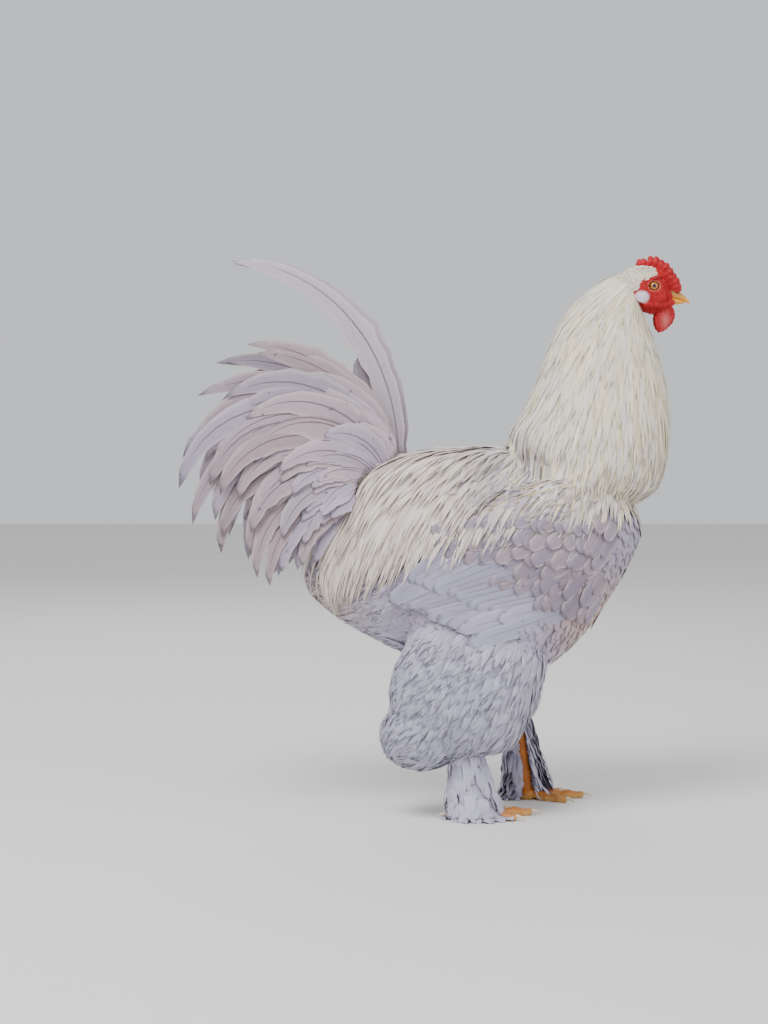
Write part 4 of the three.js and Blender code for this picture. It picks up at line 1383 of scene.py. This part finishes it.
@dataclass
class Head:
    """Eyes, bill and face papillae."""

    skin: Skin

    @staticmethod
    def eye(side: int) -> bpy.types.Object:
        """An eyeball whose polar map runs from the pupil's middle outwards.

        Args:
            side: the bird's side, RIGHT or LEFT.

        Returns:
            The eyeball.
        """
        radius, cornea, bulge = 6.9, 5.6, 1.15
        points, faces = ball((0, 0, 0), (radius, radius, radius), sides=48)
        points = points[:, [2, 0, 1]] * np.array([1, side, 1])
        if side < 0:
            faces = [face[::-1] for face in faces]
        out = side * points[:, 1]
        points[:, 1] = np.where(out > cornea, side * (cornea + bulge * (out - cornea)), points[:, 1])
        made = object_of(f"eyeball_{SIDES[side]}", [(points + np.array([EYE_X, side * EYE_Y, EYE_Z]), faces)])
        radial = np.hypot(points[:, 0], points[:, 2]) / 6.0 + np.where(out < 0, 2.0, 0.0)
        turn = np.arctan2(points[:, 2], points[:, 0]) / (2 * np.pi) + 0.5
        corners = np.empty(len(made.data.loops), np.int32)
        made.data.loops.foreach_get("vertex_index", corners)
        polar = made.data.uv_layers.new(name="Polar")
        polar.data.foreach_set("uv", np.stack([turn[corners], radial[corners]], 1).ravel().astype(np.float32))
        made.data.materials.append(EyeFinish().material())
        return show(made, "eye", f"eye_{SIDES[side]}")

    @staticmethod
    def bill() -> None:
        """The short hooked upper bill with nostrils, and the lower bill."""
        u = np.linspace(0, 1, 9)
        shrink = 1 - u**1.35 * 0.84
        upper = np.stack([mix(219, 245, u), 0 * u, 638 - 11 * u**2.4, 7.4 * shrink, 7.6 * shrink,
                          5.4 * shrink * (1 - 0.15 * u)], 1)
        shrink = 1 - u**1.5 * 0.8
        lower = np.stack([mix(217, 239.5, u), 0 * u, 630.4 - 1.4 * u, 6.4 * shrink, 6.2 * shrink,
                          5.0 * shrink], 1)
        for name, rows, upright, domes in (("upper", upper, False, (0.1, 0.12)),
                                           ("lower", lower, True, (0.1, 0.2))):
            points, faces = Loft(Rows(tuple(map(tuple, rows))), upright=upright, domes=domes).shell(30, 32)
            if name == "upper":
                for side in SIDES:
                    gap = (points - np.array([230.5, side * 5.6, 640.2])) / np.array([3.2, 3.0, 1.3])
                    points[:, 1] -= side * 2.2 * np.exp(-(gap**2).sum(1))
            made = object_of(f"bill_{name}", [(points, faces)])
            finish = HornFinish(f"bill_{name}", srgb(128, 92, 54), srgb(228, 152, 44), 0.633, 0.011)
            made.data.materials.append(finish.material())
            show(made, "beak", f"beak_{name}")

    def papillae(self) -> bpy.types.Object:
        """Small warts over the bare face, grown by a node tree and made plain mesh."""
        return show(PapillaTree().grow(self.skin.body), "flesh")


@dataclass
class PapillaTree:
    """A node tree that sets small rounded warts on the bare face."""

    density: float = 420000.0
    radius: float = 0.00055
    low: tuple[float, float, float] = (186.0, -30.0, 612.0)
    high: tuple[float, float, float] = (223.0, 30.0, 664.0)

    def tree(self, material: bpy.types.Material) -> bpy.types.GeometryNodeTree:
        """Builds the tree with its named inputs.

        Args:
            material: the warts' material.

        Returns:
            The tree.
        """
        tree = bpy.data.node_groups.new("papillae", "GeometryNodeTree")
        for name, way, kind in (("Geometry", "INPUT", "Geometry"), ("Density", "INPUT", "Float"),
                                ("Radius", "INPUT", "Float"), ("Geometry", "OUTPUT", "Geometry")):
            tree.interface.new_socket(name, in_out=way, socket_type=f"NodeSocket{kind}")

        def add(kind: str, inputs: dict, **settings: str) -> bpy.types.NodeOutputs:
            """Adds a node with its settings and its values or links, and gives its outputs.

            Args:
                kind: the node's type.
                inputs: values or links of its sockets, by name or number.
                settings: its own properties, set first.

            Returns:
                The node's outputs.
            """
            node = tree.nodes.new(kind)
            for key, value in settings.items():
                setattr(node, key, value)
            for key, value in inputs.items():
                if isinstance(value, bpy.types.NodeSocket):
                    tree.links.new(value, node.inputs[key])
                else:
                    node.inputs[key].default_value = value
            return node.outputs

        source = add("NodeGroupInput", {})
        place = add("ShaderNodeSeparateXYZ", {0: add("GeometryNodeInputPosition", {})[0]})
        density = source["Density"]
        for axis in range(3):
            for operation, bound in (("GREATER_THAN", self.low), ("LESS_THAN", self.high)):
                limit = (bound[axis] + SHIFT[axis]) * MM
                inside = add("ShaderNodeMath", {0: place[axis], 1: limit}, operation=operation)[0]
                density = add("ShaderNodeMath", {0: density, 1: inside}, operation="MULTIPLY")[0]
        spread = add("GeometryNodeDistributePointsOnFaces",
                     {"Mesh": source["Geometry"], "Density": density, "Seed": 5})
        wart = add("GeometryNodeMeshIcoSphere", {"Subdivisions": 1, "Radius": source["Radius"]})
        size = add("FunctionNodeRandomValue", {2: 0.55, 3: 1.5, "Seed": 9}, data_type="FLOAT")
        warts = add("GeometryNodeInstanceOnPoints",
                    {"Points": spread["Points"], "Instance": wart["Mesh"], "Scale": size[1]})
        real = add("GeometryNodeRealizeInstances", {0: warts[0]})
        dressed = add("GeometryNodeSetMaterial", {"Geometry": real[0], "Material": material})
        add("NodeGroupOutput", {0: dressed[0]})
        return tree

    def grow(self, base: bpy.types.Object) -> bpy.types.Object:
        """Runs the tree over a copy of the skin and keeps the result as a plain mesh.

        Args:
            base: the skin.

        Returns:
            The warts as one piece.
        """
        made = bpy.data.objects.new("papillae", base.data.copy())
        bpy.context.collection.objects.link(made)
        modifier = made.modifiers.new("papillae", "NODES")
        modifier.node_group = self.tree(base.data.materials[0])
        values = {"Density": self.density, "Radius": self.radius}
        for item in modifier.node_group.interface.items_tree:
            if item.in_out == "INPUT" and item.name in values:
                modifier[item.identifier] = values[item.name]
        bake(made)
        made.data.polygons.foreach_set("use_smooth", np.ones(len(made.data.polygons), bool))
        paint(made.data, Skin.face_tints(read_points(made.data) / MM - SHIFT))
        return made


@dataclass(frozen=True)
class Tier:
    """One tier of a wing's coverts, from its front end to its rear end."""

    front_height: float
    rear_height: float
    count: int
    rear: float
    length: float
    half: float
    lift: float


@dataclass
class Coat:
    """All feathers of the body, piece by piece."""

    skin: Skin
    contour_spacing: float = 5.9
    down_spacing: float = 4.6
    crown_spacing: float = 1.55
    cape_rows: int = 54
    saddle_rows: int = 16
    saddle_count: int = 56
    bow_rows: int = 11
    bow_count: int = 34
    tiers: tuple[Tier, ...] = (
        Tier(278, 282, 8, 84, 56, 12.5, 6.5), Tier(300, 302, 10, 44, 58, 12.5, 6.0),
        Tier(318, 312, 14, 0, 54, 12.0, 5.0), Tier(336, 328, 17, -30, 48, 11.0, 6.0),
        Tier(352, 344, 19, -48, 42, 10.0, 6.5), Tier(367, 360, 20, -48, 36, 8.5, 7.0))
    finishes: dict[str, bpy.types.Material] = field(default_factory=dict)

    def __post_init__(self) -> None:
        """Makes the finishes that the pieces share."""
        for name, barbs, streak, rim, rim_share, rachis_share, more in (
                ("hackle", 46, 0.2, Tint.STRAW, 0.22, 0.08, {}),
                ("contour", 34, 0.22, Tint.PEARL, 0.3, 0.08, {}),
                ("covert", 60, 0.3, Tint.BLUSH, 0.5, 0.35, {}),
                ("flight", 150, 0.24, Tint.PEARL, 0.35, 0.5, {"roughness": 0.5}),
                ("sickle", 170, 0.34, Tint.BLUSH, 0.3, 0.75,
                 {"roughness": 0.5, "rachis": srgb(84, 70, 78), "flecks": 0.5}),
                ("down", 26, 0.3, Tint.SNOW, 0.25, 0.0, {})):
            finish = FeatherFinish(name, barbs, streak, rim.value, rim_share, rachis_share=rachis_share,
                                   **more)
            self.finishes[finish.name] = finish.material()

    def hang(self, flock: Flock, finish: str, slot: str, *nodes: str) -> None:
        """Makes a flock's mesh and hangs it on the model."""
        show(flock.build(self.skin, self.finishes[finish]), slot, *nodes)

    def sown(self, spacing: float, seed: int, low: float, high: float) -> tuple[Array, Array]:
        """Roots over the body's skin between two heights, and the part of the body that each is on."""
        keep = lambda p: (p[:, 2] > low) & (p[:, 2] < high)
        spots = self.skin.sample(self.skin.body.data, spacing, seed, keep)
        return spots, np.array(self.skin.region(spots))

    def contour(self) -> None:
        """Small rounded feathers over back, breast, flanks and wings."""
        spots, names = self.sown(self.contour_spacing, 11, 150, 520)
        rng = np.random.default_rng(12)
        x, _, z = spots.T
        chosen = (names != "neck") | (z < 430)
        chosen &= ~np.char.startswith(names, "thigh") & (names != "tail") & ~((x < -120) & (z < 330))
        spots = spots[chosen]
        breast = smooth(spots[:, 0], 90, 160)[:, None]
        heading = mix(np.array([-1.0, 0, -0.3]), np.array([-0.55, 0, -1.0]), breast)
        heading = heading + rng.normal(0, 0.12, spots.shape)
        length = 30 + 8 * rng.random(len(spots))
        tint = self.skin.body_tints(spots)
        lie = Lie(root=-1.0, tip=3.0, stick=0.95, steps=5, jitter=1.2)
        for side, name in SIDES.items():
            part = side * spots[:, 1] > 0
            flock = Flock(f"contour_{name}", Outline.ROUND, 5, thick=0.4)
            laid = self.skin.lay(spots[part], heading[part], length[part], lie)
            flock.add(*laid, 7.2, tint[part])
            self.hang(flock, "contour", "plumage")

    def down(self) -> None:
        """Soft tufts over thighs, hocks and the rear of the belly."""
        spots, names = self.sown(self.down_spacing, 21, -1.0, 345)
        x, _, z = spots.T
        thigh = np.char.startswith(names, "thigh")
        chosen = thigh | ((x < -105) & (z < 335)) | (z < 215)
        spots, thigh = spots[chosen], thigh[chosen]
        x, y, z = spots.T
        rng = np.random.default_rng(22)
        heading = np.where(thigh[:, None], np.array([-0.62, 0, -0.8]), np.array([-0.85, 0, -0.5]))
        heading = heading + rng.normal(0, 0.2, spots.shape)
        hock = smooth(-z, -150, -90) * smooth(-x, 20, 90) * thigh
        length = (np.where(thigh, 44, 42) + 26 * hock) * rng.uniform(0.85, 1.2, len(spots))
        heading[:, 0] -= 0.5 * hock
        tint = mix(self.skin.body_tints(spots), Tint.PEARL.rgb, 0.35)
        lie = Lie(root=-1.0, tip=4.0, stick=0.75, steps=5, jitter=3.0)
        for name, part in (("right", thigh & (y < 0)), ("left", thigh & (y > 0)), ("rear", ~thigh)):
            flock = Flock(f"down_{name}", Outline.TUFT, 5, thick=0.5, bow=0.2, ragged=0.2)
            laid = self.skin.lay(spots[part], heading[part], length[part], lie)
            flock.add(*laid, 6.2, tint[part])
            self.hang(flock, "down", "fluff")

    def neck(self) -> None:
        """The cape: long narrow feathers in many tiers down the neck."""
        loft = self.skin.form.neck()
        rng = np.random.default_rng(31)
        for side, name in SIDES.items():
            flock = Flock(f"cape_{name}", Outline.LANCE, 7, thick=0.35)
            for row, u in enumerate(np.linspace(0.03, 0.9, self.cape_rows)):
                count = int(mix(20, 58, u))
                turn = (np.arange(count) + (row % 2) / 2 + rng.uniform(-0.2, 0.2, count)) / count
                angle = np.pi * (turn - 0.5) if side > 0 else np.pi * (turn + 0.5)
                places = u + rng.uniform(-0.012, 0.012, count)
                roots = loft.points(np.clip(places, 0.01, 0.95), angle)
                heading = loft.points(np.clip(places + 0.08, 0, 1), angle) - roots
                front = 0.5 + 0.5 * np.sin(angle)
                length = mix(34, 128, u**0.6) * rng.uniform(0.88, 1.12, count)
                length *= rng.uniform(1 - 0.28 * u, 1 + 0.2 * u, count)
                length *= mix(1.0, mix(1.0, 0.5, smooth(front, 0.3, 0.8)), smooth(u, 0.5, 0.85))
                tip, stick = mix(1.6, 4.6, smooth(u, 0.1, 0.7)), mix(0.55, 0.95, smooth(angle.mean(), 0, 1))
                lie = Lie(root=0.0, tip=tip, stick=stick, steps=7, sag=(-0.02, 0, -0.05), jitter=2.0)
                laid = self.skin.lay(roots, unit(heading), length, lie, row)
                low = smooth(u, 0.3, 0.85) * smooth(rng.random(count), 0.25, 0.9) * (1 - 0.6 * front)
                tint = Tint.CREAM.to(Tint.SNOW, rng.random((count, 1)))
                tint = mix(tint, Tint.PEARL.rgb, low[:, None])
                tint = mix(tint, Tint.STRAW.rgb, (0.35 * rng.random(count) * (0.3 + 0.7 * front))[:, None])
                flock.add(*laid, mix(2.4, 5.0, u**0.5), tint)
            self.hang(flock, "hackle", "hackle", *(("neck",) if side > 0 else ()))

    def crown(self) -> None:
        """Tiny pale feathers over crown, nape and cheek."""
        keep = lambda p: (p[:, 2] > 612) & (p[:, 0] < Skin.hairline(p))
        sown = object_of("sown_head", [self.skin.form.head.shell(60, 60)])
        spots = self.skin.sample(sown.data, self.crown_spacing, 41, keep)
        bpy.data.objects.remove(sown)
        rng = np.random.default_rng(42)
        heading = np.array([-1.0, 0, -0.35]) + rng.normal(0, 0.12, spots.shape)
        length = mix(6.0, 13.0, smooth(-spots[:, 0], -190, -155)) * rng.uniform(0.8, 1.2, len(spots))
        lie = Lie(root=-0.2, tip=1.4, stick=0.9, steps=4, jitter=0.6)
        laid = self.skin.lay(spots, heading, length, lie, tree=self.skin.face_tree)
        flock = Flock("crown", Outline.LANCE, 4, thick=0.35, bow=0.2)
        flock.add(*laid, 1.4, Tint.CREAM.to(Tint.SNOW, rng.random((len(spots), 1))))
        self.hang(flock, "hackle", "hackle")

    def saddle(self) -> None:
        """Long pointed feathers that hang from the back over both flanks and the tail's root."""
        torso = self.skin.form.torso
        rng = np.random.default_rng(51)
        count, last = self.saddle_count, self.saddle_rows - 1
        for side, name in SIDES.items():
            flock = Flock(f"saddle_{name}", Outline.LANCE, 8, thick=0.35)
            for row in range(self.saddle_rows):
                share = (np.arange(count) + rng.uniform(-0.3, 0.3, count)) / count
                angle = np.radians(mix(89, 28, row / last) + rng.uniform(-2, 2, count))
                angle = angle if side > 0 else np.pi - angle
                u = np.array([torso.rows.place(x) for x in mix(58, -172, share)])
                roots = self.skin.drop(torso.points(u, angle, 60), torso.points(u, angle, -60))
                out = np.full(count, side * 0.55)
                heading = np.stack([-0.75 - 0.35 * share, out, -0.35 - 0.3 * share], 1)
                length = mix(62, 118, smooth(share, 0.1, 0.7)) * rng.uniform(0.85, 1.15, count)
                tip = 6.0 + 0.2 * (last - row)
                lie = Lie(root=0.0, tip=tip, stick=0.75, steps=8, sag=(0, 0, -0.13), jitter=3.0)
                laid = self.skin.lay(roots, heading, length, lie, 60 + row)
                tint = Tint.LAVENDER.to(Tint.BLUSH, smooth(share, 0.0, 0.35)[:, None])
                for other, most in ((Tint.SNOW, 0.6), (Tint.CREAM, 0.35)):
                    tint = mix(tint, other.rgb, rng.uniform(0, most, (count, 1)))
                flock.add(*laid, 4.2, tint)
            self.hang(flock, "hackle", "hackle", *(("saddle",) if side > 0 else ()))

    def wing(self, side: int) -> None:
        """Bow, covert tiers and folded flight feathers of one wing.

        Args:
            side: the bird's side, RIGHT or LEFT.
        """
        rng = np.random.default_rng(70 + side)
        self.bow(side, rng)
        self.coverts(side, rng)
        self.flights(side, rng)

    def bow(self, side: int, rng: np.random.Generator) -> None:
        """Short narrow feathers over the wing's shoulder.

        Args:
            side: the bird's side, RIGHT or LEFT.
            rng: the wing's source of random numbers.
        """
        flock = Flock(f"wing_bow_{SIDES[side]}", Outline.LANCE, 6, thick=0.35)
        count = self.bow_count
        for row in range(self.bow_rows):
            share = (np.arange(count) + rng.uniform(-0.3, 0.3, count)) / count
            x, z = mix(138, -32, share), mix(414, 398, share) - row * 5.2 + rng.uniform(-2, 2, count)
            heading = np.stack([np.full(count, -1.0), np.zeros(count), mix(-0.62, -0.3, share)], 1)
            length = rng.uniform(36, 50, count)
            lie = Lie(root=0.0, tip=5.0 - 0.2 * row, stick=0.9, steps=6, jitter=2.0)
            laid = self.skin.lay(self.skin.cast(x, z, side), heading, length, lie, 80 + row)
            tint = Tint.LAVENDER.to(Tint.STRAW, rng.uniform(0.0, 0.85, (count, 1)) * (1 - row / 15))
            flock.add(*laid, 3.6, tint)
        self.hang(flock, "hackle", "wing")

    def coverts(self, side: int, rng: np.random.Generator) -> None:
        """Tiers of rounded coverts, the lowest first.

        Args:
            side: the bird's side, RIGHT or LEFT.
            rng: the wing's source of random numbers.
        """
        flock = Flock(f"wing_coverts_{SIDES[side]}", Outline.ROUND, 7, thick=0.45, bow=0.14)
        for row, tier in enumerate(self.tiers):
            count = tier.count
            share = (np.arange(count) + 0.5 * (row % 2) + rng.uniform(-0.3, 0.3, count)) / count
            z = mix(tier.front_height, tier.rear_height, share) + 8 * np.sin(np.pi * share)
            z = z + rng.uniform(-3, 3, count)
            angle = mix(228, 196, share) + rng.uniform(-7, 7, count)
            roots = self.skin.cast(mix(150, tier.rear, share), z, side)
            length = tier.length * rng.uniform(0.92, 1.08, count)
            lie = Lie(root=0.5, tip=tier.lift, stick=0.85, steps=6, jitter=1.2)
            laid = self.skin.lay(roots, aimed(angle), length, lie, 90 + row)
            flock.add(*laid, tier.half, Tint.SLATE.to(Tint.MAUVE, rng.uniform(0, 0.6, (count, 1))))
        self.hang(flock, "covert", "wing", f"wing_{SIDES[side]}")

    def flights(self, side: int, rng: np.random.Generator) -> None:
        """The bar and the folded flight feathers, in two layers.

        Args:
            side: the bird's side, RIGHT or LEFT.
            rng: the wing's source of random numbers.
        """
        flock = Flock(f"flight_vanes_{SIDES[side]}", Outline.FLIGHT, 10, thick=0.6, bow=0.12)
        for layer, (count, low, long) in enumerate(((17, 0, 1.0), (13, 8, 0.72))):
            share = np.arange(count) / (count - 1)
            roots = self.skin.cast(mix(118, -40, share), mix(268, 330, share) + low, side)
            length = long * mix(176, 112, share) * rng.uniform(0.97, 1.03, count)
            lie = Lie(root=0.5 + layer, tip=4.0 + layer, stick=0.4, steps=9, jitter=0.8)
            paths, outs = self.skin.lay(roots, aimed(mix(183, 214, share)), length, lie, 100 + layer)
            paths[..., 1] += side * (np.arange(count) * 0.25)[:, None]
            flock.add(paths, outs, 12.5, Tint.BLUE.to(Tint.LAVENDER, rng.uniform(0, 0.5, (count, 1))))
        self.hang(flock, "flight", "wing", f"wing_flights_{SIDES[side]}")

    def legs(self) -> None:
        """Feathers down the outer side of each shank and over the outer toes."""
        t = np.linspace(0, 1, 7)
        for side, name in SIDES.items():
            loft = self.skin.form.shank(side)
            rng = np.random.default_rng(110 + side)
            flock = Flock(f"leg_feathers_{name}", Outline.ROUND, 7, thick=0.4, bow=0.14, ragged=0.14)
            for u in np.linspace(0.04, 0.93, 19):
                for turn in np.linspace(0, 1, 17):
                    angle = math.radians(mix(122, -140, turn) + rng.uniform(-9, 9))
                    inner = float(smooth(abs(math.degrees(angle) + 8), 84, 130))
                    angle = angle if side > 0 else math.pi - angle
                    root, ring = loft.points(np.full(2, u), np.array([angle, angle + math.pi]))
                    length = rng.uniform(30, 58) * mix(0.75, 1.25, u) * (1 - 0.35 * inner)
                    out = unit(unit(root - ring) + rng.normal(0, 0.22, 3) * np.array([1, 1, 0]))
                    away = out * length * mix(0.3, 0.78, u) * (1 - 0.5 * inner)
                    bulge = (0.8 * t + 0.3 * np.sin(np.pi * t))[:, None]
                    line = root + away * bulge + np.array([[0.12, 0, 0]]) * length * t[:, None]
                    floor = 1.0 + 2.5 * t + rng.uniform(0, 2)
                    line[:, 2] = np.maximum(root[2] - length * 0.85 * t**1.2, floor)
                    facing = np.broadcast_to(unit(np.array([out[0], out[1], 0.8])), line.shape)
                    half = rng.uniform(4.5, 7.5)
                    tint = Tint.PEARL.to(Tint.BLUE, rng.uniform(0, 0.6))
                    flock.add(line[None], facing[None], half, tint)
            self.hang(flock, "contour", "fluff")


@dataclass
class Tail:
    """The fan: main feathers, sickles and tiers of coverts on both sides."""

    coat: Coat
    arcs: Rows = Rows((
        (-122, 440, 112, 72, 262, 22, 0.05), (-128, 432, 117, 104, 280, 25, 0.1),
        (-134, 426, 120, 136, 312, 27, 0.12), (-142, 424, 132, 134, 286, 27, 0.15),
        (-150, 424, 146, 124, 262, 23, 0.18), (-158, 420, 160, 112, 214, 21, 0.2),
        (-164, 412, 176, 98, 186, 20, 0.22), (-168, 400, 192, 76, 160, 19, 0.22),
        (-166, 386, 208, 56, 112, 18, 0.2)))
    layers: tuple[tuple[int, float, float, float], ...] = (
        (17, 1.0, 0, 0.82), (16, 0.84, 4, 0.8), (16, 0.66, 8, 0.76), (15, 0.48, 12, 0.7),
        (14, 0.32, 15, 0.62))

    @staticmethod
    def arc(root: Sequence[float], y: float, heading: float, turn: float, length: float, splay: float,
            side: int, bend: float = 1.15, lean: float = 0.15, samples: int = 24) -> tuple[Array, Array]:
        """One feather's path that starts on a heading and turns.

        Args:
            root: the root's x and z.
            y: how far the root is from the middle.
            heading: the first way in degrees, where 90 is up and 180 backwards.
            turn: how many degrees it turns by its tip.
            length: its length.
            splay: how much it goes outwards.
            side: the bird's side.
            bend: how late it turns.
            lean: how far its upper side faces up.
            samples: the number of steps.

        Returns:
            The path, and the way that each point's upper side faces.
        """
        t = (np.arange(samples) + 0.5) / samples
        angle = np.radians(heading + turn * t**bend)
        step = length / samples
        moves = np.stack([np.cos(angle), side * splay * (1.4 - 0.8 * t), np.sin(angle)], 1) * step
        start = np.array([root[0], side * y, root[1]])
        line = np.vstack([start, start + np.cumsum(moves, 0)])
        return line, np.broadcast_to(unit(np.array([0, side, lean])), line.shape)

    def build(self) -> None:
        """Makes each side's fan, coverts and sickles."""
        for side, name in SIDES.items():
            rng = np.random.default_rng(130 + side)
            fan = Flock(f"tail_fan_{name}", Outline.FLIGHT, 12, thick=0.6, bow=0.1)
            for share in np.linspace(0, 1, 8):
                root = (mix(-128, -172, share), mix(424, 392, share))
                length = mix(150, 132, abs(share - 0.3))
                line, out = self.arc(root, 3 + 7 * share, mix(98, 186, share), 14, length,
                                     0.02 + 0.04 * share, side, lean=0.1)
                fan.add(line[None], out[None], 16, Tint.SLATE.to(Tint.MAUVE, rng.random()))
            self.coat.hang(fan, "flight", "tail", *(("tail_fan",) if side > 0 else ()))
            coverts = Flock(f"covert_arcs_{name}", Outline.SICKLE, 14, thick=0.5, bow=0.14)
            for layer, (count, long, out_by, wide) in enumerate(self.layers):
                for i in range(count):
                    u = (i + 0.5 * (layer % 2) + rng.uniform(-0.2, 0.2)) / count
                    x, z, heading, turn, length, half, splay = self.arcs.at(np.array([u]))[0]
                    line, out = self.arc((x, z), 21 + 19 * u + out_by, heading + rng.uniform(-9, 9),
                                         turn * (0.55 + 0.45 * long), length * long * rng.uniform(0.88, 1.06),
                                         splay * rng.uniform(0.7, 1.1), side, lean=0.1 + 0.3 * u)
                    tint = Tint.MAUVE.to(Tint.LAVENDER, rng.random()) * mix(0.82, 1.04, layer / 4)
                    coverts.add(line[None], out[None], half * wide, tint)
            self.coat.hang(coverts, "sickle", "tail", f"tail_coverts_{name}")
            sickle = Flock(f"sickle_feather_{name}", Outline.SICKLE, 20, thick=0.7, bow=0.14)
            line, out = self.arc((-114, 432), 5, 92, 88, 358, 0.05, side, bend=1.3)
            sickle.add(line[None], out[None], 19, Tint.MAUVE.to(Tint.PEARL, 0.5))
            self.coat.hang(sickle, "sickle", "tail", f"sickle_{name}")


def claws(form: Form) -> bpy.types.Object:
    """All eight claws as one piece of pale horn.

    Args:
        form: the body's lofts.

    Returns:
        The piece.
    """
    shells = []
    for side in SIDES:
        x, y, turn = form.feet[side]
        for yaw, length, *_ in TOES.values():
            angle = math.radians(side * (turn + yaw))
            rows = []
            for u in np.linspace(0, 1, 6):
                radius = 3.3 * (1 - 0.86 * u)
                out = 8 + length - 3 + 14 * u
                z = max(4.6 + 1.4 * math.sin(math.pi * u) - 3.1 * u**2, radius + 0.2)
                size = (radius * 0.75, radius, radius)
                rows.append((x + math.cos(angle) * out, side * y + math.sin(angle) * out, z, *size))
            shells.append(Loft(Rows(tuple(rows)), domes=(0.1, 0.12)).shell(16, 14))
    made = object_of("claws", shells)
    finish = HornFinish("claw", srgb(214, 202, 176), srgb(190, 170, 130), 0.003, 0.004)
    made.data.materials.append(finish.material())
    return show(made, "claw", *(f"claw_{toe}_{name}" for toe in TOES for name in SIDES.values()))


@dataclass
class Studio:
    """The floor, the lights, and the camera at the photograph's place."""

    camera: tuple[float, float, float] = (-132.5, -2470.0, 480.0)
    pitch: float = 2.56
    lens: float = 70.0
    sensor: float = 36.0
    floor_size: float = 14.0
    sky: tuple[float, float, float, float] = (0.93, 0.95, 1.0, 1.0)
    sky_power: float = 0.8
    aim: tuple[float, float, float] = (0.05, 0.0, 0.35)
    lamps: tuple[tuple[str, Colour, float, float], ...] = (
        ("key", (-0.9, -1.5, 2.6), 1.3, 84), ("fill", (2.2, -1.6, 1.2), 2.0, 20),
        ("back", (-0.6, 2.2, 2.2), 1.6, 26))

    @staticmethod
    def placed(name: str, data: bpy.types.ID, place: Sequence[float],
               turn: Sequence[float]) -> bpy.types.Object:
        """A new object of the scene at a place in metres, turned.

        Args:
            name: its name.
            data: the lamp or camera itself.
            place: where it stands.
            turn: its angles in radians.

        Returns:
            The object.
        """
        made = bpy.data.objects.new(name, data)
        made.location, made.rotation_euler = place, turn
        bpy.context.collection.objects.link(made)
        return made

    def build(self) -> None:
        """Adds floor, lights, world and camera."""
        bpy.ops.mesh.primitive_plane_add(size=self.floor_size)
        floor = bpy.context.object
        floor.name = "floor"
        shade = Shade("floor")
        cloud = shade.noise(shade.coords(), 3.0) * 0.3
        colour = shade.blend(cloud, srgb(226, 224, 220), srgb(214, 211, 206))
        floor.data.materials.append(shade.dress({"Roughness": 0.9}, Base_Color=colour))
        world = bpy.data.worlds.new("studio")
        bpy.context.scene.world = world
        world.use_nodes = True
        sky = world.node_tree.nodes["Background"]
        sky.inputs[0].default_value, sky.inputs[1].default_value = self.sky, self.sky_power
        for name, place, size, power in self.lamps:
            light = bpy.data.lights.new(name, "AREA")
            light.size, light.energy = size, power
            aim = Vector(self.aim) - Vector(place)
            self.placed(name, light, place, aim.to_track_quat("-Z", "Y").to_euler())
        camera = bpy.data.cameras.new("camera")
        camera.sensor_width, camera.lens = self.sensor, self.lens
        place = (np.array(self.camera) + SHIFT) * MM
        bpy.context.scene.camera = self.placed("camera", camera, place, (math.radians(90 - self.pitch), 0, 0))


def main() -> None:
    """Builds the bird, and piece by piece."""
    logging.basicConfig(level=logging.INFO, format="%(message)s")
    form = Form()
    skin = Skin(form)
    body = skin.build()
    body.data.materials.clear()
    body.data.materials.append(SkinFinish().material())
    flesh = ["torso", "abdomen", "head", "comb"]
    for name in SIDES.values():
        flesh += [f"{part}_{name}" for part in ("wattle", "earlobe", "thigh", "shank", "foot")]
        flesh += [f"toe_{toe}_{name}" for toe in TOES]
    show(body, "flesh", *flesh)
    head = Head(skin)
    for side in SIDES:
        head.eye(side)
    head.bill()
    head.papillae()
    claws(form)
    coat = Coat(skin)
    coat.contour()
    coat.down()
    coat.saddle()
    for side in SIDES:
        coat.wing(side)
    coat.neck()
    coat.crown()
    coat.legs()
    Tail(coat).build()
    Studio().build()


if __name__ == "__main__":
    main()
